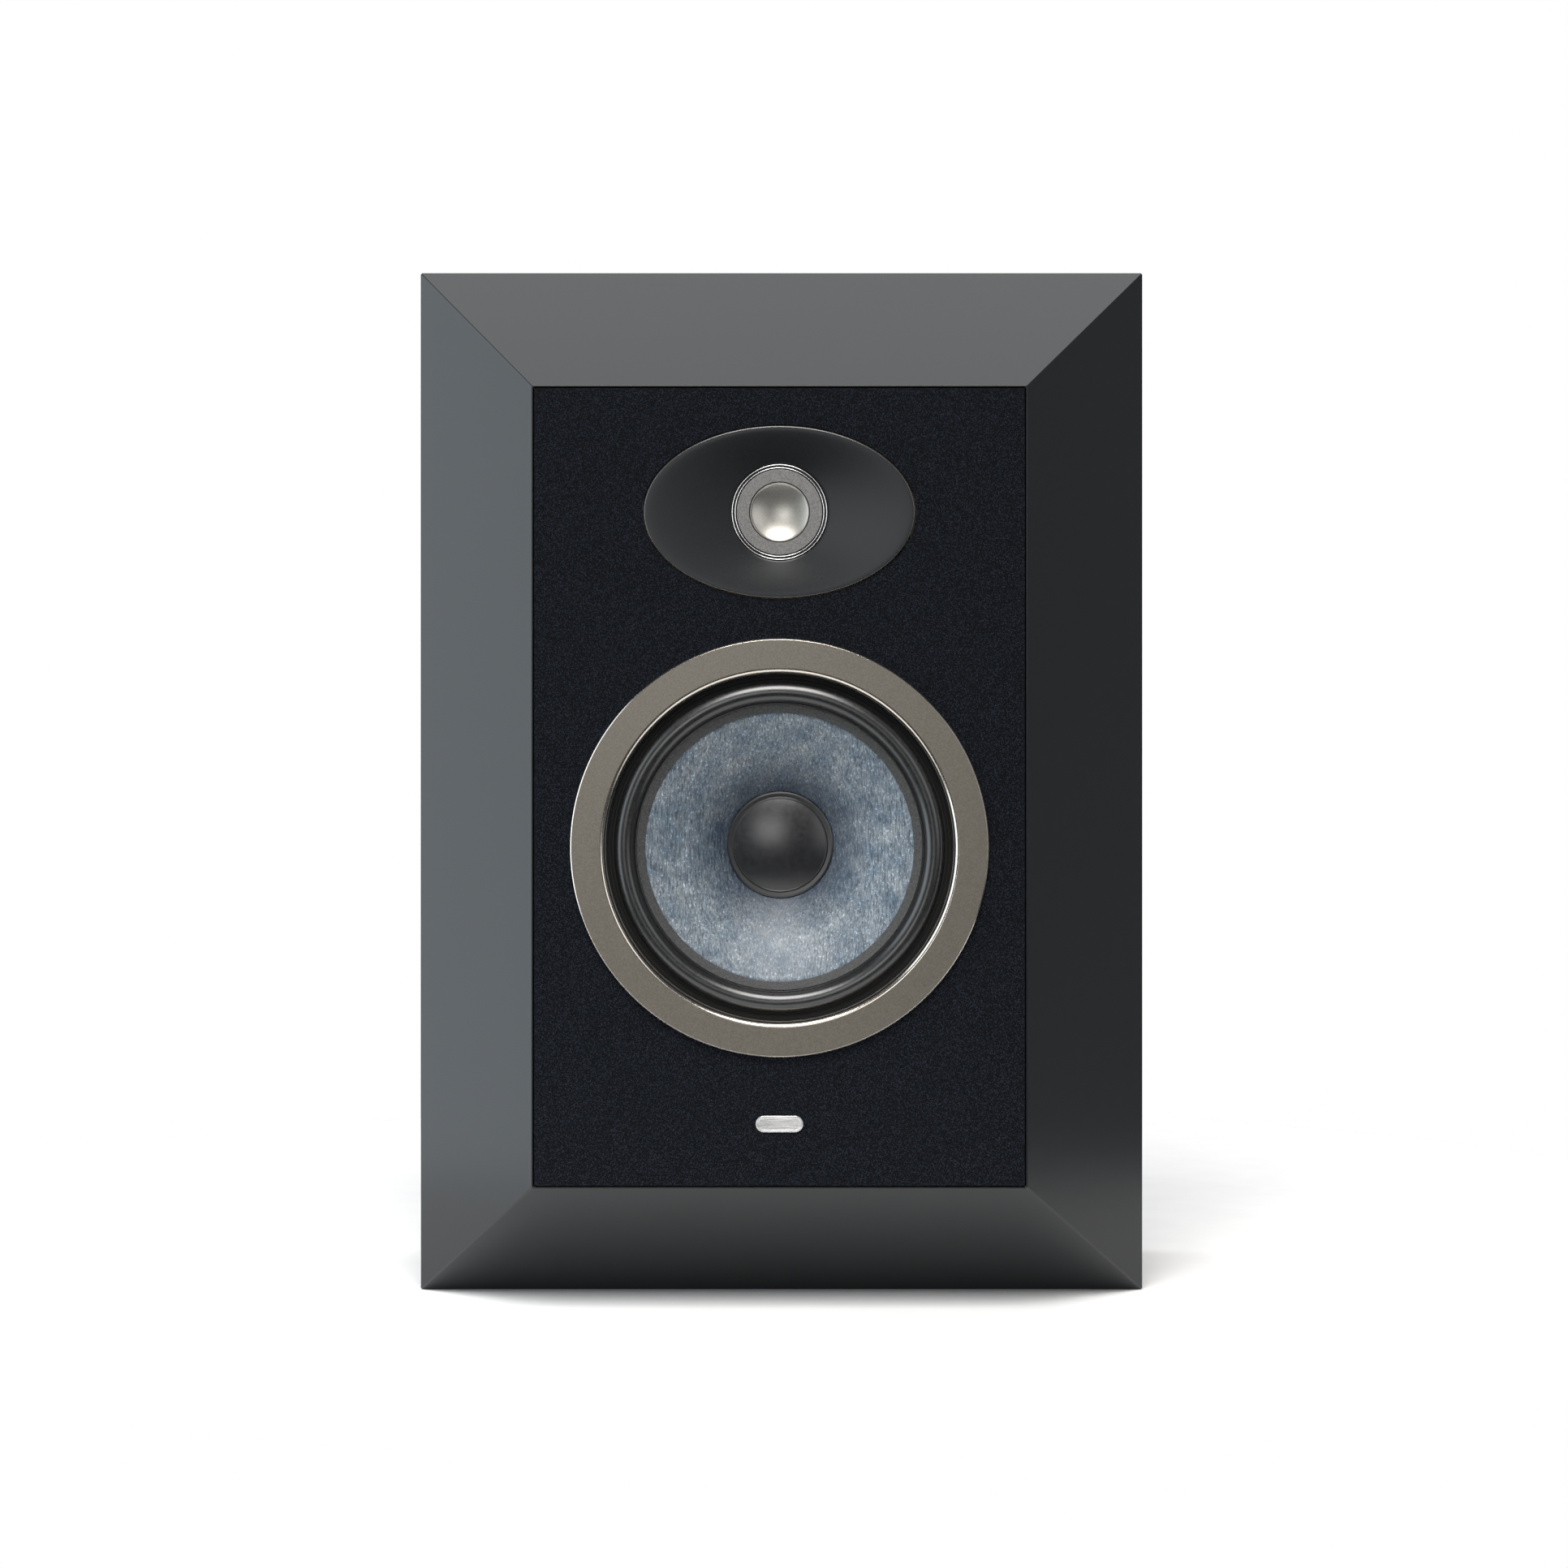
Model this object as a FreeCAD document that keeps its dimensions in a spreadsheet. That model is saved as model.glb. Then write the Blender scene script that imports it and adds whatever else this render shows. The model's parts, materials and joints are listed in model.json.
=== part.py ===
import FreeCAD, Part
import math
import os
import re
import Sketcher
from FreeCAD import Placement, Rotation, Vector

# A two-way bookshelf speaker. The cabinet stands on its base at z = 0 and faces -Y; +X is to the right and
# the origin is the middle of the base. Lengths are millimetres.
DIMENSIONS = {
    # Cabinet: a straight rim, then four slopes that narrow it to the face.
    "box_w": 316, "box_h": 445, "rim_d": 110, "bevel_d": 68, "bevel_in": 54.5, "wall": 12,
    "baffle_t": 18, "skin_t": 1.2, "seam": 0.5, "brace_z": 286, "brace_t": 12, "brace_edge": 66,
    "block_leg": 22, "block_d": 80, "panel_screw_in": 7, "brace_screw_x": 110,
    "pilot_depth": 26,
    "wadding_w": 230, "wadding_t": 22,
    "badge_z": 81, "badge_w": 20, "badge_tall": 7, "badge_t": 0.8,
    # Woofer: radii about its axis, depths behind the face of the cabinet.
    "woofer_z": 197, "ring_r": 87.8, "ring_in": 73.5, "ring_up": 2.5, "ring_drop": 3.6, "ring_edge": 0.8,
    "ring_round": 2.1, "flange_r": 86.5, "flange_t": 5, "ledge_r": 66.5, "ledge_a": 4.4, "ledge_out": 74.8,
    "cutout_r": 76, "gasket_t": 1, "woofer_screw_at": 81.2, "woofer_screws": 8,
    "roll_mid": 65.25, "roll_r": 4.35, "surround_a": 3.4, "surround_t": 0.9, "land_r": 73.2, "lip_in": 56.5,
    "cone_r": 60.2, "cone_in": 56.8, "cone_a": 4.5, "cone_bend": 120, "cone_t": 1, "neck_r": 19.3,
    "neck_a": 27.6, "cap_r": 22.6, "cap_dome_r": 20.2, "cap_a": 23.8, "cap_up": 3.0, "cap_t": 0.6,
    "former_r": 19.1, "former_t": 0.4, "former_len": 34, "winding_t": 0.8, "winding_a": 47,
    "winding_len": 12, "spider_a": 39, "spider_in": 19.5, "spider_out": 45.5, "spider_t": 0.6,
    "spider_wave": 1.2, "spider_folds": 5, "seat_a": 50, "motor_gap_r": 20.6, "plate_r": 50, "plate_t": 6,
    "magnet_r": 49, "magnet_in": 26, "magnet_t": 16, "yoke_r": 46, "pole_r": 18.2, "vent_r": 5,
    # Tweeter: the same way about its own axis.
    "tweeter_z": 338, "oval_w": 114.4, "oval_tall": 72.8, "oval_up": 1, "oval_t": 6, "oval_rim": 3.2,
    "horn_r": 20.4, "horn_d": 3.5, "well_d": 5, "chrome_in": 18.3, "chrome_r": 20.3, "chrome_t": 2.2,
    "front_ring_in": 12.8, "front_ring_r": 18, "front_ring_t": 1, "dome_r": 12.4, "dome_a": 2.4,
    "dome_dip": 2.8, "dome_t": 0.3, "tweeter_coil_t": 0.5, "tweeter_coil_len": 6, "throat_r": 16.5,
    "hanger_out": 16, "hanger_t": 0.3, "tweeter_gap_r": 13.6, "tweeter_motor_r": 31,
    "tweeter_plate_t": 3.5, "tweeter_magnet_in": 18, "tweeter_magnet_t": 12, "tweeter_yoke_t": 4,
    "tweeter_pole_r": 11.6, "tweeter_hole_r": 33, "rear_cap_r": 20, "rear_cap_d": 8, "boss_x": 46,
    # Crossover board on the inside of the back panel.
    "board_z": 215, "board_w": 140, "board_tall": 90, "board_t": 1.6, "spacer_len": 6, "board_inset": 6,
    "spool_r": 20, "spool_in": 7, "spool_len": 18, "spool_lip": 1.5, "film_r": 7, "film_len": 32,
    "film_gap": 22, "block_resistor": 9, "resistor_len": 38, "cable_r": 2.2, "lead_r": 0.6,
    # Terminal cup in the back panel, and the binding posts in it.
    "cup_z": 100, "cup_w": 78, "cup_tall": 50, "cup_d": 30, "cup_t": 2.5, "cup_lip": 11, "cup_lip_t": 3,
    "cup_corner": 7, "post_gap": 19, "post_r": 3, "post_in": 13, "socket_r": 2.02, "socket_d": 14,
    "wire_hole_r": 1, "collar_t": 3, "collar_r": 6.5, "seat_t": 1.5, "seat_r": 5.5, "washer_t": 1.2,
    "knob_r": 6.5, "knob_len": 16, "play": 0.1, "flutes": 12, "nut_t": 4, "nut_r": 5.5, "lug_t": 0.8,
    # Fasteners.
    "screw_r": 2, "head_r": 4, "pilot_r": 2.1, "small_r": 1.5, "small_head_r": 3,
}

# Levels along Y that several pieces share.
BACK_Y = "(rim_d / 2)"
INNER_BACK_Y = "(rim_d / 2 - wall)"
RIM_Y = "(-rim_d / 2)"
FACE_Y = "(-rim_d / 2 - bevel_d)"
SLANT = "sqrt(bevel_in ^ 2 + bevel_d ^ 2)"
FOLD_Y = "(-rim_d / 2 + wall * (" + SLANT + " - bevel_d) / bevel_in)"
SLOPE_END_Y = "(" + FOLD_Y + " - (bevel_in - wall) * bevel_d / bevel_in)"
SLACK = 1.0

doc = FreeCAD.newDocument("bookshelf_speaker")
sheet = doc.addObject("Spreadsheet::Sheet", "dims")
for row, (name, number) in enumerate(DIMENSIONS.items(), start=1):
    sheet.set("A%d" % row, name)
    sheet.set("B%d" % row, str(number))
    sheet.setAlias("B%d" % row, name)
doc.recompute()

pieces = []


def bind(text):
    """The expression with each dimension's name pointing at its cell."""
    return re.sub(r"\b[a-z]\w*\b", lambda word: "dims." + word.group() if word.group() in DIMENSIONS
                  else word.group(), str(text))


def value(text):
    """The number that an expression of dimensions comes to."""
    return float(sheet.evalExpression(str(text)))


def put(item, x="0", y="0", z="0"):
    """Set a piece's place from expressions."""
    for letter, text in zip("xyz", (x, y, z)):
        item.setExpression("Placement.Base." + letter, bind(text))
    return item


def new_body(label, x="0", y="0", z="0"):
    """An empty body that becomes the piece of that name."""
    body = doc.addObject("PartDesign::Body", label)
    body.Label = label
    pieces.append(body)
    return put(body, x, y, z)


def sketch(body, role, level="0"):
    """A sketch on one of the body's origin planes. On XZ_Plane, level is measured along +Y."""
    plane = [item for item in body.Origin.OriginFeatures if item.Role == role][0]
    drawing = body.newObject("Sketcher::SketchObject", body.Name + "_sketch")
    drawing.AttachmentSupport = [(plane, "")]
    drawing.MapMode = "FlatFace"
    sign = "-" if role == "XZ_Plane" else ""
    drawing.setExpression("AttachmentOffset.Base.z", bind("%s(%s)" % (sign, level)))
    return drawing


def hold(drawing, kind, place, amount):
    """Constrain one point of a drawing, bound to the sheet."""
    number = drawing.addConstraint(Sketcher.Constraint(kind, *place, value(amount)))
    drawing.setExpression("Constraints[%d]" % number, bind(amount))


def arc_between(start, end, radius):
    """The shorter arc from start to end: anticlockwise where the radius is positive."""
    chord = end - start
    reach = max(radius * radius - chord.Length ** 2 / 4, 0) ** 0.5
    left = Vector(-chord.y, chord.x, 0).normalize()
    centre = (start + end) / 2 + left * (reach if radius > 0 else -reach)
    first, last = (start, end) if radius > 0 else (end, start)
    axis = Vector(0, 0, 1)
    angles = [Vector(1, 0, 0).getAngle(point - centre) * (1 if point.y >= centre.y else -1)
              for point in (first, last)]
    return Part.ArcOfCircle(Part.Circle(centre, axis, abs(radius)), angles[0], angles[1])


def outline(drawing, corners):
    """Add a closed outline. A corner is (x, y), or (x, y, radius) where an arc runs on from it."""
    first = drawing.GeometryCount
    count = len(corners)
    points = [Vector(value(corner[0]), value(corner[1]), 0) for corner in corners]
    starts = []
    for index, corner in enumerate(corners):
        end = points[(index + 1) % count]
        bent = len(corner) == 3
        radius = value(corner[2]) if bent else 0
        edge = arc_between(points[index], end, radius) if bent else Part.LineSegment(points[index], end)
        drawing.addGeometry(edge)
        starts.append(2 if radius < 0 else 1)
    for index, corner in enumerate(corners):
        after = (index + 1) % count
        join = (first + index, 3 - starts[index], first + after, starts[after])
        drawing.addConstraint(Sketcher.Constraint("Coincident", *join))
        hold(drawing, "DistanceX", (first + index, starts[index]), corner[0])
        hold(drawing, "DistanceY", (first + index, starts[index]), corner[1])
        if len(corner) == 3:
            hold(drawing, "Radius", (first + index,), "abs(%s)" % corner[2])
    return drawing


def rectangle(drawing, low_x, low_y, high_x, high_y):
    return outline(drawing, [(low_x, low_y), (high_x, low_y), (high_x, high_y), (low_x, high_y)])


def rounded_box(drawing, wide, tall, radius):
    """A rectangle about the origin with round corners, from its whole width and height."""
    right = "(%s) / 2" % wide
    top = "(%s) / 2" % tall
    flat_x = "(%s - (%s))" % (right, radius)
    flat_y = "(%s - (%s))" % (top, radius)
    return outline(drawing, [
        ("-" + flat_x, "-" + top), (flat_x, "-" + top, radius),
        (right, "-" + flat_y), (right, flat_y, radius),
        (flat_x, top), ("-" + flat_x, top, radius),
        ("-" + right, flat_y), ("-" + right, "-" + flat_y, radius)])


def circles(drawing, centres, radius):
    """One circle of the same radius at each centre."""
    for x, y in centres:
        middle = Vector(value(x), value(y), 0)
        number = drawing.addGeometry(Part.Circle(middle, Vector(0, 0, 1), value(radius)))
        hold(drawing, "DistanceX", (number, 3), x)
        hold(drawing, "DistanceY", (number, 3), y)
        hold(drawing, "Radius", (number,), radius)
    return drawing


def oval(drawing, wide, tall):
    """An ellipse about the origin, from its whole width and height."""
    tips = Vector(value(wide) / 2, 0, 0), Vector(0, value(tall) / 2, 0)
    number = drawing.addGeometry(Part.Ellipse(*tips, Vector(0, 0, 0)))
    drawing.exposeInternalGeometry(number)
    drawing.addConstraint(Sketcher.Constraint("Coincident", number, 3, -1, 1))
    drawing.addConstraint(Sketcher.Constraint("Horizontal", number + 1))
    hold(drawing, "Distance", (number + 1,), wide)
    hold(drawing, "Distance", (number + 2,), tall)
    return drawing


def feature(body, kind, drawing, **settings):
    """Add a feature made from a drawing. Returns it with the body's volume before it."""
    before = body.Shape.Volume if not body.Shape.isNull() else 0
    made = body.newObject("PartDesign::" + kind, body.Name + "_" + kind.lower())
    made.Profile = drawing
    for name, setting in settings.items():
        setattr(made, name, setting)
    return made, before


def recomputed(body, made, before, cuts):
    """Work out a new feature, and check that one that cuts removes material."""
    doc.recompute()
    if cuts and not body.Shape.Volume < before:
        raise RuntimeError(made.Name + " removes nothing")
    return made


def pad(body, drawing, length, **settings):
    """Extrude a drawing on XZ_Plane towards +Y, or on another plane along its normal."""
    backwards = drawing.AttachmentSupport[0][0].Role == "XZ_Plane"
    made, before = feature(body, "Pad", drawing, Reversed=backwards, **settings)
    made.setExpression("Length", bind(length))
    return recomputed(body, made, before, False)


def pocket(body, drawing, length, **settings):
    """Cut a drawing on XZ_Plane towards +Y, or on another plane against its normal."""
    made, before = feature(body, "Pocket", drawing, **settings)
    made.setExpression("Length", bind(length))
    return recomputed(body, made, before, True)


def through(body, drawing):
    """Cut a drawing right through the body, both ways."""
    made, before = feature(body, "Pocket", drawing, Type="ThroughAll", SideType="Symmetric")
    return recomputed(body, made, before, True)


def spin(body, drawing, kind="Revolution", angle=360):
    """Turn a drawing on XY_Plane about the body's Y axis."""
    made, before = feature(body, kind, drawing, ReferenceAxis=(drawing, ["V_Axis"]), Angle=angle,
                           Midplane=angle < 360)
    return recomputed(body, made, before, kind == "Groove")


def repeat_round(body, original, drawing, count):
    """Repeat a feature round the drawing's own normal axis or, for a turned one, its vertical axis."""
    turned_one = original.TypeId in ("PartDesign::Revolution", "PartDesign::Groove")
    pattern = body.newObject("PartDesign::PolarPattern", body.Name + "_pattern")
    pattern.Originals = [original]
    pattern.Axis = (drawing, ["V_Axis" if turned_one else "N_Axis"])
    pattern.Angle = 360
    pattern.setExpression("Occurrences", bind(count))
    body.Tip = pattern
    doc.recompute()
    return pattern


def turned(label, corners, x="0", y=FACE_Y, z="0"):
    """A piece of revolution about Y, from corners given as (radius, depth)."""
    body = new_body(label, x, y, z)
    spin(body, outline(sketch(body, "XY_Plane"), corners))
    return body


def tube(label, inner, outer, near, far, z, x="0", y=FACE_Y):
    """A plain ring or washer between two depths."""
    return turned(label, [(inner, near), (outer, near), (outer, far), (inner, far)], x, y, z)


def corners_of(half_x, half_z):
    """The four corners of a rectangle, as centres for circles."""
    return [("%s(%s)" % (a, half_x), "%s(%s)" % (b, half_z)) for a in ("-", "") for b in ("-", "")]


def ring_of(radius, count, start):
    """Centres spaced evenly round a circle."""
    return [("(%s) * cos(%s)" % (radius, start + 360 / count * number),
             "(%s) * sin(%s)" % (radius, start + 360 / count * number)) for number in range(count)]


# ---------------------------------------------------------------- cabinet


def edge_panel(label, section, half_length, half_offset, turn):
    """A mitred board. Its section is drawn as (y, distance out), and it is turned about Y into its place."""
    body = new_body(label, z="box_h / 2")
    body.Placement = Placement(Vector(0, 0, 0), Rotation(Vector(0, 1, 0), turn))
    put(body, z="box_h / 2")
    board = outline(sketch(body, "YZ_Plane"), section)
    pad(body, board, "2 * (%s)" % half_length, SideType="Symmetric")
    for side in ("", "-"):
        end = "%s(%s)" % (side, half_length)
        past = "%s(%s + %s)" % (side, half_length, SLACK)
        foot = "%s(%s - bevel_in - %s)" % (side, half_length, SLACK)
        low = "%s - bevel_in - %s" % (half_offset, SLACK)
        wedge = [(end, half_offset), (foot, low), (past, low), (past, half_offset)]
        through(body, outline(sketch(body, "XZ_Plane"), wedge))
    return body


def make_panels():
    sides = (("top", "box_w / 2", "box_h / 2", 0), ("right", "box_h / 2", "box_w / 2", 90),
             ("base", "box_w / 2", "box_h / 2", 180), ("left", "box_h / 2", "box_w / 2", 270))
    for side, half_length, half_offset, turn in sides:
        inside = "(%s - wall)" % half_offset
        face = "(%s - bevel_in)" % half_offset
        rim = [(RIM_Y, half_offset), (FOLD_Y, inside), (BACK_Y, inside), (BACK_Y, half_offset)]
        edge_panel(side + "_panel", rim, half_length, half_offset, turn)
        slope = [(RIM_Y, half_offset), (FACE_Y, face), (SLOPE_END_Y, face), (FOLD_Y, inside)]
        edge_panel(side + "_slope", slope, half_length, half_offset, turn)


def face_board(label, near, thick):
    """A board that fills the face of the cabinet inside the slopes, between two depths."""
    body = new_body(label, y=FACE_Y, z="box_h / 2")
    wide = "(box_w / 2 - bevel_in - seam)"
    tall = "(box_h / 2 - bevel_in - seam)"
    pad(body, rectangle(sketch(body, "XZ_Plane", near), "-" + wide, "-" + tall, wide, tall), thick)
    return body


def make_baffle():
    woofer = [("0", "woofer_z - box_h / 2")]
    tweeter = [("0", "tweeter_z - box_h / 2")]
    skin = face_board("baffle_skin", "0", "skin_t")
    through(skin, circles(sketch(skin, "XZ_Plane"), woofer, "flange_r + 0.3"))
    cut_oval(skin, "0", "skin_t + 0.1")
    board = face_board("baffle", "skin_t", "baffle_t")
    through(board, circles(sketch(board, "XZ_Plane"), woofer, "cutout_r"))
    through(board, circles(sketch(board, "XZ_Plane"), tweeter, "tweeter_hole_r"))
    rebate = circles(sketch(board, "XZ_Plane", "0"), woofer, "flange_r + 0.3")
    pocket(board, rebate, "flange_t + gasket_t")
    cut_oval(board, "0", "oval_t - oval_up")
    around = [("(%s)" % x, "(%s) + woofer_z - box_h / 2" % z)
              for x, z in ring_of("woofer_screw_at", int(value("woofer_screws")), 22.5)]
    through(board, circles(sketch(board, "XZ_Plane"), around, "pilot_r"))
    bosses = [("-boss_x", tweeter[0][1]), ("boss_x", tweeter[0][1])]
    through(board, circles(sketch(board, "XZ_Plane"), bosses, "pilot_r"))


def cut_oval(body, near, depth):
    """Cut the tweeter's oval seat, with a small gap round the faceplate."""
    drawing = sketch(body, "XZ_Plane", near)
    drawing.setExpression("AttachmentOffset.Base.y", bind("tweeter_z - box_h / 2"))
    pocket(body, oval(drawing, "oval_w + 0.6", "oval_tall + 0.6"), depth)


def make_back_panel():
    panel = new_body("back_panel", y=INNER_BACK_Y, z="box_h / 2")
    wide = "(box_w / 2 - wall)"
    tall = "(box_h / 2 - wall)"
    pad(panel, rectangle(sketch(panel, "XZ_Plane"), "-" + wide, "-" + tall, wide, tall), "wall")
    cup = sketch(panel, "XZ_Plane", "-" + str(SLACK))
    cup.setExpression("AttachmentOffset.Base.y", bind("cup_z - box_h / 2"))
    rounded_box(cup, "cup_w + 2 * cup_t + seam", "cup_tall + 2 * cup_t + seam", "cup_corner")
    pocket(panel, cup, "wall + 2")
    rebate = sketch(panel, "XZ_Plane", "wall - cup_lip_t")
    rebate.setExpression("AttachmentOffset.Base.y", bind("cup_z - box_h / 2"))
    rounded_box(rebate, "cup_w + 2 * cup_lip + seam", "cup_tall + 2 * cup_lip + seam", "cup_corner")
    pocket(panel, rebate, "wall")
    places = panel_screw_places()
    through(panel, circles(sketch(panel, "XZ_Plane"), places, "pilot_r"))
    sink = sketch(panel, "XZ_Plane", "wall - head_r + pilot_r")
    pocket(panel, circles(sink, places, "pilot_r"), "head_r - pilot_r", TaperAngle=45)
    lip_screws = [(x, "%s + cup_z - box_h / 2" % z) for x, z in cup_screw_places()]
    through(panel, circles(sketch(panel, "XZ_Plane"), lip_screws, "small_r + 0.1"))


def panel_screw_places():
    """Four screws into the corner blocks and two into the brace, about the cabinet's middle."""
    corner = corners_of("box_w / 2 - wall - panel_screw_in", "box_h / 2 - wall - panel_screw_in")
    height = "brace_z + brace_t / 2 - box_h / 2"
    return corner + [("-brace_screw_x", height), ("brace_screw_x", height)]


def make_brace():
    """A shelf between the two drivers, with a window for air and wiring."""
    brace = new_body("shelf_brace", z="brace_z")
    wide = "(box_w / 2 - wall)"
    front = "(box_w / 2 - bevel_in)"
    behind = FACE_Y + " + skin_t + baffle_t"
    plan = [("-" + wide, INNER_BACK_Y), ("-" + wide, FOLD_Y), ("-" + front, behind),
            (front, behind), (wide, FOLD_Y), (wide, INNER_BACK_Y)]
    pad(brace, outline(sketch(brace, "XY_Plane"), plan), "brace_t")
    window = sketch(brace, "XY_Plane")
    through(brace, rounded_box(window, "box_w - 2 * brace_edge", "rim_d / 2 + brace_t", "brace_t"))
    pilots = [("-brace_screw_x", "brace_t / 2"), ("brace_screw_x", "brace_t / 2")]
    drawing = circles(sketch(brace, "XZ_Plane", INNER_BACK_Y + " - pilot_depth"), pilots, "pilot_r")
    pocket(brace, drawing, "pilot_depth + " + str(SLACK))


def make_corner_blocks():
    blocks = new_body("corner_blocks", y=INNER_BACK_Y + " - block_d", z="box_h / 2")
    drawing = sketch(blocks, "XZ_Plane")
    for x, z in corners_of("box_w / 2 - wall", "box_h / 2 - wall"):
        back_x = "%s %s block_leg" % (x, "+" if x.startswith("-") else "-")
        back_z = "%s %s block_leg" % (z, "+" if z.startswith("-") else "-")
        outline(drawing, [(x, z), (back_x, z), (x, back_z)])
    pad(blocks, drawing, "block_d")
    pilots = sketch(blocks, "XZ_Plane", "block_d - pilot_depth")
    circles(pilots, panel_screw_places()[:4], "pilot_r")
    pocket(blocks, pilots, "pilot_depth + " + str(SLACK))


def make_wadding():
    wadding = new_body("damping_wadding", y=INNER_BACK_Y + " - wadding_t - 1")
    drawing = sketch(wadding, "XZ_Plane")
    rectangle(drawing, "-wadding_w / 2", "brace_z + brace_t + 8", "wadding_w / 2", "box_h - wall - 16")
    rectangle(drawing, "-wadding_w / 2", "wall + 6", "wadding_w / 2", "cup_z - cup_tall / 2 - 12")
    pad(wadding, drawing, "wadding_t")


def make_badge():
    badge = new_body("badge_plate", y=FACE_Y + " - badge_t", z="badge_z")
    shape = rounded_box(sketch(badge, "XZ_Plane"), "badge_w", "badge_tall", "badge_tall / 2 - 0.05")
    pad(badge, shape, "badge_t")


def screws(label, centres, head_r, shank_r, length, y, z):
    """A group of countersunk screws along Y, with the flats of their heads level with y and facing +Y."""
    body = new_body(label, y=y, z=z)
    depth = "(%s - %s)" % (head_r, shank_r)
    pad(body, circles(sketch(body, "XZ_Plane", "-(%s)" % length), centres, shank_r), length + " - " + depth)
    pad(body, circles(sketch(body, "XZ_Plane", "-" + depth), centres, shank_r), depth, TaperAngle=45)
    return body


# ---------------------------------------------------------------- woofer


def make_woofer_frame():
    z = "woofer_z"
    turned("woofer_trim_ring", [
        ("ring_in", "ring_drop"), ("ring_in", "ring_round - ring_up", "ring_round"),
        ("ring_in + ring_round", "-ring_up"), ("ring_r - ring_edge", "-ring_up"),
        ("ring_r", "ring_edge - ring_up"), ("ring_r", "0"), ("ring_in + 1", "0"),
        ("ring_in + 1", "ring_drop")], z=z)
    basket = turned("woofer_basket", [
        ("ledge_r", "ledge_a"), ("ledge_out", "ledge_a"), ("ledge_out", "0"), ("flange_r", "0"),
        ("flange_r", "flange_t"), ("cutout_r - 0.5", "flange_t"), ("cutout_r - 0.5", "ledge_a + 3.6"),
        ("plate_r", "spider_a + 1"), ("plate_r", "seat_a"), ("motor_gap_r + 2", "seat_a"),
        ("motor_gap_r + 2", "seat_a - 3"), ("spider_out - 2.5", "seat_a - 3"),
        ("spider_out - 2.5", "spider_a + spider_t"), ("spider_out + 0.7", "spider_a + spider_t"),
        ("cutout_r - 4.4", "ledge_a + 3.6"), ("ledge_r", "ledge_a + 3.6")], z=z)
    window = outline(sketch(basket, "XY_Plane"), [
        ("spider_out - 6", "ledge_a + 6"), ("flange_r", "ledge_a + 6"), ("flange_r", "spider_a - 1.6"),
        ("spider_out - 6", "spider_a - 1.6")])
    repeat_round(basket, spin(basket, window, "Groove", 44), window, "6")
    places = woofer_screw_places()
    through(basket, circles(sketch(basket, "XZ_Plane"), places, "pilot_r"))
    sinks = circles(sketch(basket, "XZ_Plane", "head_r - pilot_r"), places, "pilot_r")
    pocket(basket, sinks, "head_r - pilot_r", Reversed=True, TaperAngle=45)
    gasket = tube("woofer_gasket", "cutout_r + 0.3", "flange_r - 0.3", "flange_t", "flange_t + gasket_t", z)
    through(gasket, circles(sketch(gasket, "XZ_Plane"), places, "pilot_r"))
    front_screws = new_body("woofer_screws", y=FACE_Y, z=z)
    pad(front_screws, circles(sketch(front_screws, "XZ_Plane", "head_r - screw_r"), places, "screw_r"), "17")
    heads = circles(sketch(front_screws, "XZ_Plane", "head_r - screw_r"), places, "screw_r")
    pad_forward(front_screws, heads, "head_r - screw_r", TaperAngle=45)


def woofer_screw_places():
    return ring_of("woofer_screw_at", int(value("woofer_screws")), 22.5)


def pad_forward(body, drawing, length, **settings):
    """Extrude a drawing on XZ_Plane towards -Y."""
    made, before = feature(body, "Pad", drawing, **settings)
    made.setExpression("Length", bind(length))
    return recomputed(body, made, before, False)


def make_woofer_diaphragm():
    z = "woofer_z"
    outer_foot = "roll_mid + roll_r"
    inner_foot = "roll_mid - roll_r"
    back_a = "surround_a + surround_t"
    turned("woofer_surround", [
        ("land_r", "surround_a"), (outer_foot, "surround_a", "-roll_r"),
        ("roll_mid", "surround_a - roll_r", "-roll_r"), (inner_foot, "surround_a"),
        ("lip_in", "surround_a"), ("lip_in", back_a), (inner_foot + " + surround_t", back_a),
        (inner_foot + " + surround_t", "surround_a", "roll_r - surround_t"),
        ("roll_mid", "surround_a - roll_r + surround_t", "roll_r - surround_t"),
        (outer_foot + " - surround_t", "surround_a"), (outer_foot + " - surround_t", back_a),
        ("land_r", back_a)], z=z)
    turned("woofer_cone", [
        ("cone_r", "cone_a"), ("cone_in", "cone_a", "-cone_bend"), ("neck_r", "neck_a"),
        ("neck_r", "neck_a + cone_t", "cone_bend"), ("cone_in", "cone_a + cone_t"),
        ("cone_r", "cone_a + cone_t")], z=z)
    dome = "(cap_dome_r ^ 2 + cap_up ^ 2) / (2 * cap_up)"
    turned("woofer_dust_cap", [
        ("cap_r", "cap_a"), ("cap_dome_r", "cap_a", "-(%s)" % dome), ("0", "cap_a - cap_up"),
        ("0", "cap_a - cap_up + cap_t", dome), ("cap_dome_r", "cap_a + cap_t"),
        ("cap_r", "cap_a + cap_t")], z=z)
    former_in = "former_r - former_t"
    tube("woofer_former", former_in, "former_r", "neck_a - 1", "neck_a - 1 + former_len", z)
    tube("woofer_coil", "former_r", "former_r + winding_t", "winding_a", "winding_a + winding_len", z)
    front = [("spider_in", "spider_a"), ("spider_in + 3", "spider_a")]
    folds = int(value("spider_folds")) * 2
    pitch = "((spider_out - spider_in - 6) / %d)" % folds
    for fold in range(folds):
        sign = "-" if fold % 2 else "+"
        front.append(("spider_in + 3 + %s * %s" % (pitch, fold + 0.5), "spider_a %s spider_wave" % sign))
    front += [("spider_out - 3", "spider_a"), ("spider_out", "spider_a")]
    back = [(radius, depth + " + spider_t") for radius, depth in reversed(front)]
    turned("woofer_spider", front + back, z=z)


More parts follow.
